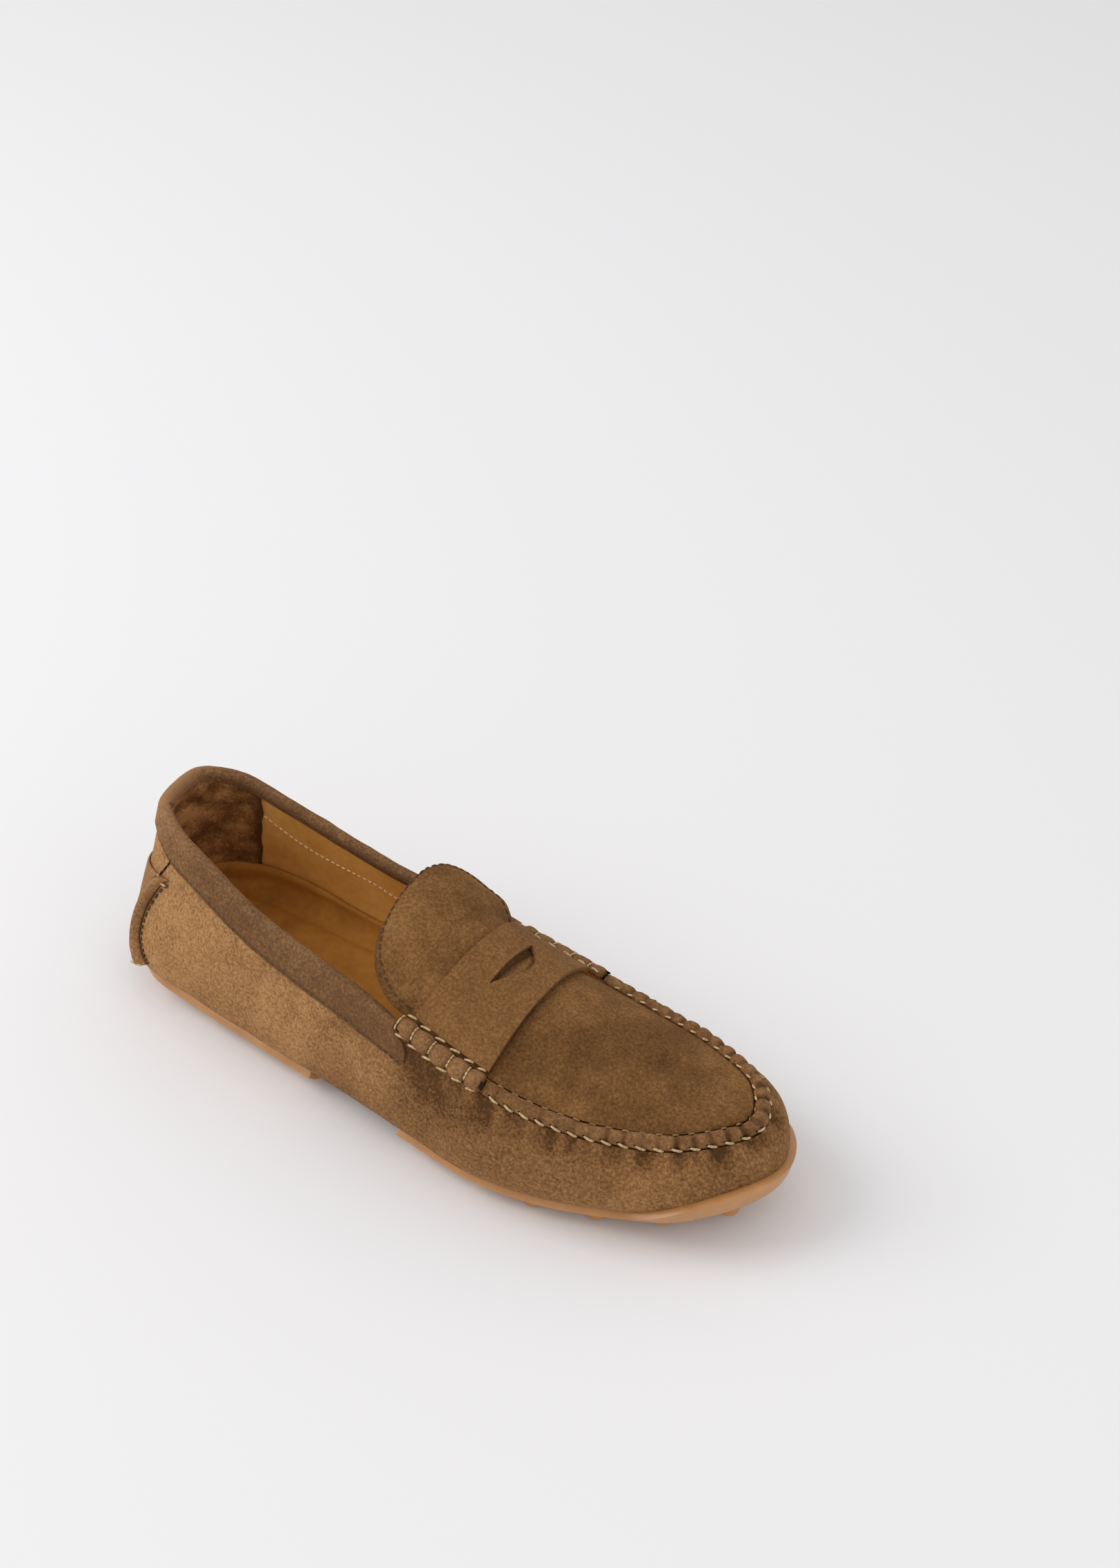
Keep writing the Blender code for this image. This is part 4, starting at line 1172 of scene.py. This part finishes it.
def band_place(s, t):
    columns = len(band_places) - 1
    row, column = round(t * band_rows), round(s * columns)
    u = band_places[column]
    near_end = min(column, columns - column)
    if near_end < BAND_END_STEPS:
        side = INNER if column < columns / 2 else OUTER
        offset = -1.0 if side == INNER else 0.0
        share = 1.0 - near_end / BAND_END_STEPS
        u += (band_end_u(side, row) + offset - band_places[0 if side == INNER else -1]) * share
    height = station("rim_z", u) - station("bulge_z", u)
    relief = band_relief(u, row)
    if row <= BAND_OUTER_ROWS:
        if near_end < BAND_END_STEPS:
            relief -= (1.0 - near_end / BAND_END_STEPS)**2
        depth = BAND_DEPTH * (1.0 - row / BAND_OUTER_ROWS)
        return wall_point(u, 1.0 - depth / height, GAP + BAND + relief)
    rim = wall_point(u, 1.0)
    radius = WALL / 2 + GAP + BAND
    if row < BAND_OUTER_ROWS + BAND_TOP_ROWS:
        angle = (row - BAND_OUTER_ROWS) * math.pi / BAND_TOP_ROWS
        out, up = wall_normal(u, 1.0), wall_up(u)
        middle = rim - out * WALL / 2
        return (middle + out * (radius + relief) * math.cos(angle)
                + up * (radius + relief) * math.sin(angle))
    depth = BAND_INSIDE * (row - BAND_OUTER_ROWS - BAND_TOP_ROWS) / BAND_INNER_ROWS
    return wall_point(u, 1.0 - depth / height, -(WALL + GAP + BAND + 0.15 * relief))


def band_painted_shading(s, t):
    """Painted shade along the sewn edge, a painted highlight on the fold and painted light round
    the heel.
    """
    row = t * band_rows
    return (-0.30 * bell(row - 1.4, 1.0) + 0.20 * bell(row - 17.0, 4.0)
            + 0.95 * bell(s - 0.52, 0.16) - 0.10)


band_suede = suede("collar_suede", (0.068, 0.031, 0.012), (0.158, 0.077, 0.031),
                   (0.320, 0.170, 0.078), nap=1.5, sheen=0.2)
band_mesh = bmesh.new()
grid_sheet(band_mesh, len(band_places) - 1, band_rows, band_place, band_painted_shading)
add_piece("collar_band", band_mesh, band_suede, ["collar"], wall=BAND,
          rounded=0.4)


def band_row_place(share):
    start = band_ends[INNER][0] - 1.0
    u = start + (band_ends[OUTER][1] - start) * share
    v = 1.0 - BAND_DEPTH * 0.89 / (station("rim_z", u) - station("bulge_z", u))
    return wall_point(u, v, GAP + BAND - 0.02 + band_relief(u, 1.6)), wall_normal(u, v)


band_row_mesh = bmesh.new()
running_row(band_row_mesh,
            [band_row_place(step / BAND_ROW_STEPS) for step in range(BAND_ROW_STEPS)],
            0.9, 2.0, 0.5, 0.08)
add_piece("collar_stitches", band_row_mesh, brown_thread, ["collar"], merge=0.0)

# Heel patch. A back piece of the same suede from the rubber up to the collar, its two
# side edges rolled over a cord and stitched down beside it in dark thread.
PATCH = 1.5
PATCH_ROLL = 0.062
PATCH_COLUMNS, PATCH_ROWS = 90, 70
PATCH_STITCHES, PATCH_STITCH_PITCH, PATCH_STITCH = 15, 0.058, 0.036
# The piece's side edge, from its foot up: height, and its place on the way round
PATCH_EDGE = ((18.0, 0.090), (19.5, 0.087), (22.0, 0.081), (26.0, 0.075), (32.0, 0.0735),
              (40.0, 0.0775), (49.0, 0.087), (56.0, 0.098))


def patch_point(s, t, extra):
    """The back piece's place on the heel: s across it, t up it."""
    z, edge = table_pair(PATCH_EDGE, t)
    u = (2 * s - 1.0) * edge
    z -= (7.0 * t**3 + 7.0 * (1.0 - t)**3) * (1.0 - (2 * s - 1.0)**2)
    return wall_point(u, height_v(u, z), extra)


def patch_rise(s, t):
    edge = min(s, 1.0 - s) / PATCH_ROLL
    roll = 2.6 * math.sqrt(max(1.0 - (2 * edge - 1.0)**2, 0.0)) if edge < 1.0 else 0.0
    groove = -0.5 * bell(edge - 1.06, 0.14)
    ends = min(1.0, math.sqrt((1.0 - t) / 0.06 + 0.1), math.sqrt(t / 0.04 + 0.2))
    softness = 0.18 * soft_noise(patch_point(s, t, 0.0), 6.0)
    return (PATCH - 0.6 + roll + groove) * ends + softness


patch_suede = suede("patch_suede", (0.105, 0.047, 0.018), (0.255, 0.127, 0.052),
                    (0.430, 0.232, 0.104), painted_shading_and_tone=0.9)
patch_mesh = bmesh.new()
# The back piece's tone: painted shade in the groove beside each rolled edge
grid_sheet(patch_mesh, PATCH_COLUMNS, PATCH_ROWS,
           lambda s, t: patch_point(s, t, GAP + patch_rise(s, t)),
           lambda s, t: 0.1 - 0.9 * bell(min(s, 1.0 - s) / PATCH_ROLL - 1.06, 0.16))
grid_sheet(patch_mesh, PATCH_COLUMNS, PATCH_ROWS, lambda s, t: patch_point(1.0 - s, t, GAP))
bmesh.ops.bridge_loops(patch_mesh, edges=open_edges(patch_mesh))
bmesh.ops.recalc_face_normals(patch_mesh, faces=patch_mesh.faces)
add_piece("heel_back_piece", patch_mesh, patch_suede, ["heel_patch"])

patch_row_mesh, patch_end_mesh, slit_mesh = bmesh.new(), bmesh.new(), bmesh.new()
for side in (OUTER, INNER):
    for k in range(PATCH_STITCHES):
        low = 0.10 + k * PATCH_STITCH_PITCH
        ends = []
        for t in (low, low + PATCH_STITCH):
            z, edge = table_pair(PATCH_EDGE, t)
            u = side * (edge + 0.0035)
            ends.append(wall_point(u, height_v(u, z), 0.3))
        lay_stitch(patch_row_mesh, *ends, wall_normal(side * 0.085, 0.3), 1.0, 0.1)
    foot = 0.0 if side == INNER else 1.0
    start = patch_point(foot + side * 0.005, 0.06, GAP + PATCH + 0.9)
    end = patch_point(foot - side * 0.07, 0.03, GAP + PATCH + 2.2)
    lay_stitch(patch_end_mesh, start, end, wall_normal(side * 0.08, 0.1), 0.9, 0.3)

    # The slit above each rolled edge, drawn as a dark chain of painted shade, with the thread's
    # end drawn across it
    slit = [wall_point(side * u, v, 0.25) for u, v in
            ((0.0945, 0.83), (0.0915, 0.775), (0.088, 0.72), (0.0835, 0.665))]
    lay_chain(slit_mesh, slit, wall_normal(side * 0.09, 0.75), 0.9, 0.0)
    thread = [wall_point(side * u, v, lift) for u, v, lift in
              ((0.0835, 0.67, 0.7), (0.0865, 0.65, 1.3), (0.0915, 0.645, 1.5),
               (0.0975, 0.655, 1.0))]
    lay_chain(patch_end_mesh, thread, wall_normal(side * 0.09, 0.65), 0.85, 0.15)
for name, mesh, material in (("heel_piece_stitches", patch_row_mesh, brown_thread),
                             ("heel_piece_thread_ends", patch_end_mesh, cream_thread),
                             ("heel_piece_slits", slit_mesh, hole_painted_shade)):
    add_piece(name, mesh, material, ["heel_patch"], merge=0.0)

# Rubber. Slightly translucent gum rubber: a knob on the back of the heel, and two pads
# moulded to the wrap with round studs, the front one turned up over the toe's foot.
PAD = 3.0
STUD_HEIGHT = 3.2
STUD_RADIUS = 4.5
STUD_PITCH, STUD_ROW = 23.0, 12.5
FLEX_GAP_BACK, FLEX_GAP_FRONT = 106.0, 151.0


def gum_rubber(name, dark, pale, gloss):
    """Moulded gum rubber, softly clouded, with a fine skin and a little depth."""
    material, tree, shader, place = blank_material(name)
    colour_by(tree, shader, pattern(tree, place, 70.0, 4.0), (0.3, dark), (0.7, pale))
    roughen(tree, shader, pattern(tree, place, 900.0, 3.0), 0.25, 0.1)
    shader.inputs["Roughness"].default_value = gloss
    shader.inputs["Subsurface Weight"].default_value = 0.12
    shader.inputs["Subsurface Scale"].default_value = 0.003
    return material


rubber = gum_rubber("gum_rubber", (0.43, 0.198, 0.062), (0.54, 0.268, 0.092), 0.30)
knob_mesh = bmesh.new()
KNOB_U, KNOB_Z, KNOB_HEIGHT = 0.002, 40.6, 2.4
KNOB_FOOT_RADIUS, KNOB_TOP_RADIUS = 2.6, 2.0
knob_u, knob_v = KNOB_U, height_v(KNOB_U, KNOB_Z)
knob_foot = wall_point(knob_u, knob_v, 2 * GAP + PATCH)
knob_out = wall_normal(knob_u, knob_v)
knob_turn = Vector((0.0, 0.0, 1.0)).rotation_difference(knob_out).to_matrix()
bmesh.ops.create_cone(knob_mesh, cap_ends=True, segments=32, radius1=KNOB_FOOT_RADIUS * MM,
                      radius2=KNOB_TOP_RADIUS * MM, depth=KNOB_HEIGHT * MM)
top_edges = [edge for edge in knob_mesh.edges if all(vert.co.z > 0 for vert in edge.verts)]
bmesh.ops.bevel(knob_mesh, geom=top_edges, offset=0.7 * MM, segments=4, profile=0.5,
                affect="EDGES", material=-1)
for vert in knob_mesh.verts:
    lifted = vert.co + Vector((0.0, 0.0, KNOB_HEIGHT / 2 * MM))
    vert.co = knob_turn @ lifted + shoe_frame(knob_foot)
add_piece("heel_knob_rubber", knob_mesh, rubber, ["heel_knob"], merge=0.0)


def outline_u(x):
    return search(TOE, 30, lambda u: outline(u).x < x)


def bottom_height(x):
    """The wrap's lowest face at x."""
    return wall_point(search(TOE, 24, lambda u: wall_point(u, -1.0).x < x), -1.0).z


def stud_places():
    """Stud middles in rings that follow the outline."""
    places = []
    for ring in range(3):
        walked, last = ring * STUD_PITCH / 2, None
        for k in range(601):
            u = (TOE + k / 600) % 1.0
            inset = 9.5 + ring * STUD_ROW + (4.0 if outline(u).x < FLEX_GAP_BACK else 0.0)
            here = outline(u) - outward(u) * inset
            walked += (here - last).length if last else 0.0
            last = here
            apart = min(((here - old).length for old in places), default=STUD_PITCH)
            if walked >= STUD_PITCH and apart > 2.6 * STUD_RADIUS:
                places.append(here)
                walked = 0.0
    return places


def mould_pad(name, start, end, rows, first_x, last_x, material, node):
    """A pad moulded to the wrap from start to end, with its studs below it."""
    mesh = bmesh.new()
    way = (start, 1.0 - start) if end == TOE else (-end, end)
    places = shared_places(*way)

    def side_place(s, t):
        u = pick(places, s)
        v = -1.0 + (station("rubber", u) + 1.0) * t
        lip = 0.35 * bell(1.0 - t, 0.08)
        return wall_point(u, v, GAP + PAD - 0.9 * max(t - 0.6, 0.0) / 0.4 + lip)

    grid_sheet(mesh, len(places) - 1, rows, side_place)
    under = shared_places(start, end)

    def floor_place(s, t):
        u = pick(under, s)
        return wall_point(1.0 - u, -1.0, GAP + PAD).lerp(wall_point(u, -1.0, GAP + PAD), t)

    grid_sheet(mesh, len(under) - 1, 12, floor_place)
    weld(mesh)
    add_piece(name, mesh, material, [node], wall=PAD, rounded=0.5)
    stud_mesh = bmesh.new()
    for place in stud_places():
        if not first_x + STUD_RADIUS < place.x < last_x - STUD_RADIUS:
            continue
        # The studs along the outer side stand a little further in
        if place.x < 195.0 and place.y < -33.0:
            place = place + Vector((0.0, 4.0, 0.0))
        elif place.x > 195.0 and place.y < -18.0:
            place = place + Vector((-1.0, 2.5, 0.0))
        pad_bottom = bottom_height(place.x) - GAP - PAD
        bottom = pad_bottom - STUD_HEIGHT
        bottom = 0.0 if bottom < 0.8 else bottom
        top = pad_bottom + PAD * 0.5
        stud = bmesh.ops.create_cone(
            stud_mesh, cap_ends=True, segments=28, radius1=STUD_RADIUS * 0.85 * MM,
            radius2=STUD_RADIUS * MM, depth=(top - bottom) * MM)
        low_edges = [e for e in {e for v in stud["verts"] for e in v.link_edges}
                     if all(v.co.z < 0 for v in e.verts)]
        bmesh.ops.translate(stud_mesh, verts=stud["verts"],
                            vec=shoe_frame(Vector((place.x, place.y, (top + bottom) / 2))))
        bmesh.ops.bevel(stud_mesh, geom=low_edges, offset=0.6 * MM, segments=3, profile=0.5,
                        affect="EDGES", material=-1)
    add_piece(name + "_studs", stud_mesh, material, [node], merge=0.0)


mould_pad("heel_pad", 0.0, outline_u(FLEX_GAP_BACK), 14, 0.0, FLEX_GAP_BACK, rubber,
          "outsole_heel")
mould_pad("forefoot_pad", outline_u(FLEX_GAP_FRONT), TOE, 22, FLEX_GAP_FRONT, 283.0, rubber,
          "outsole_forefoot")
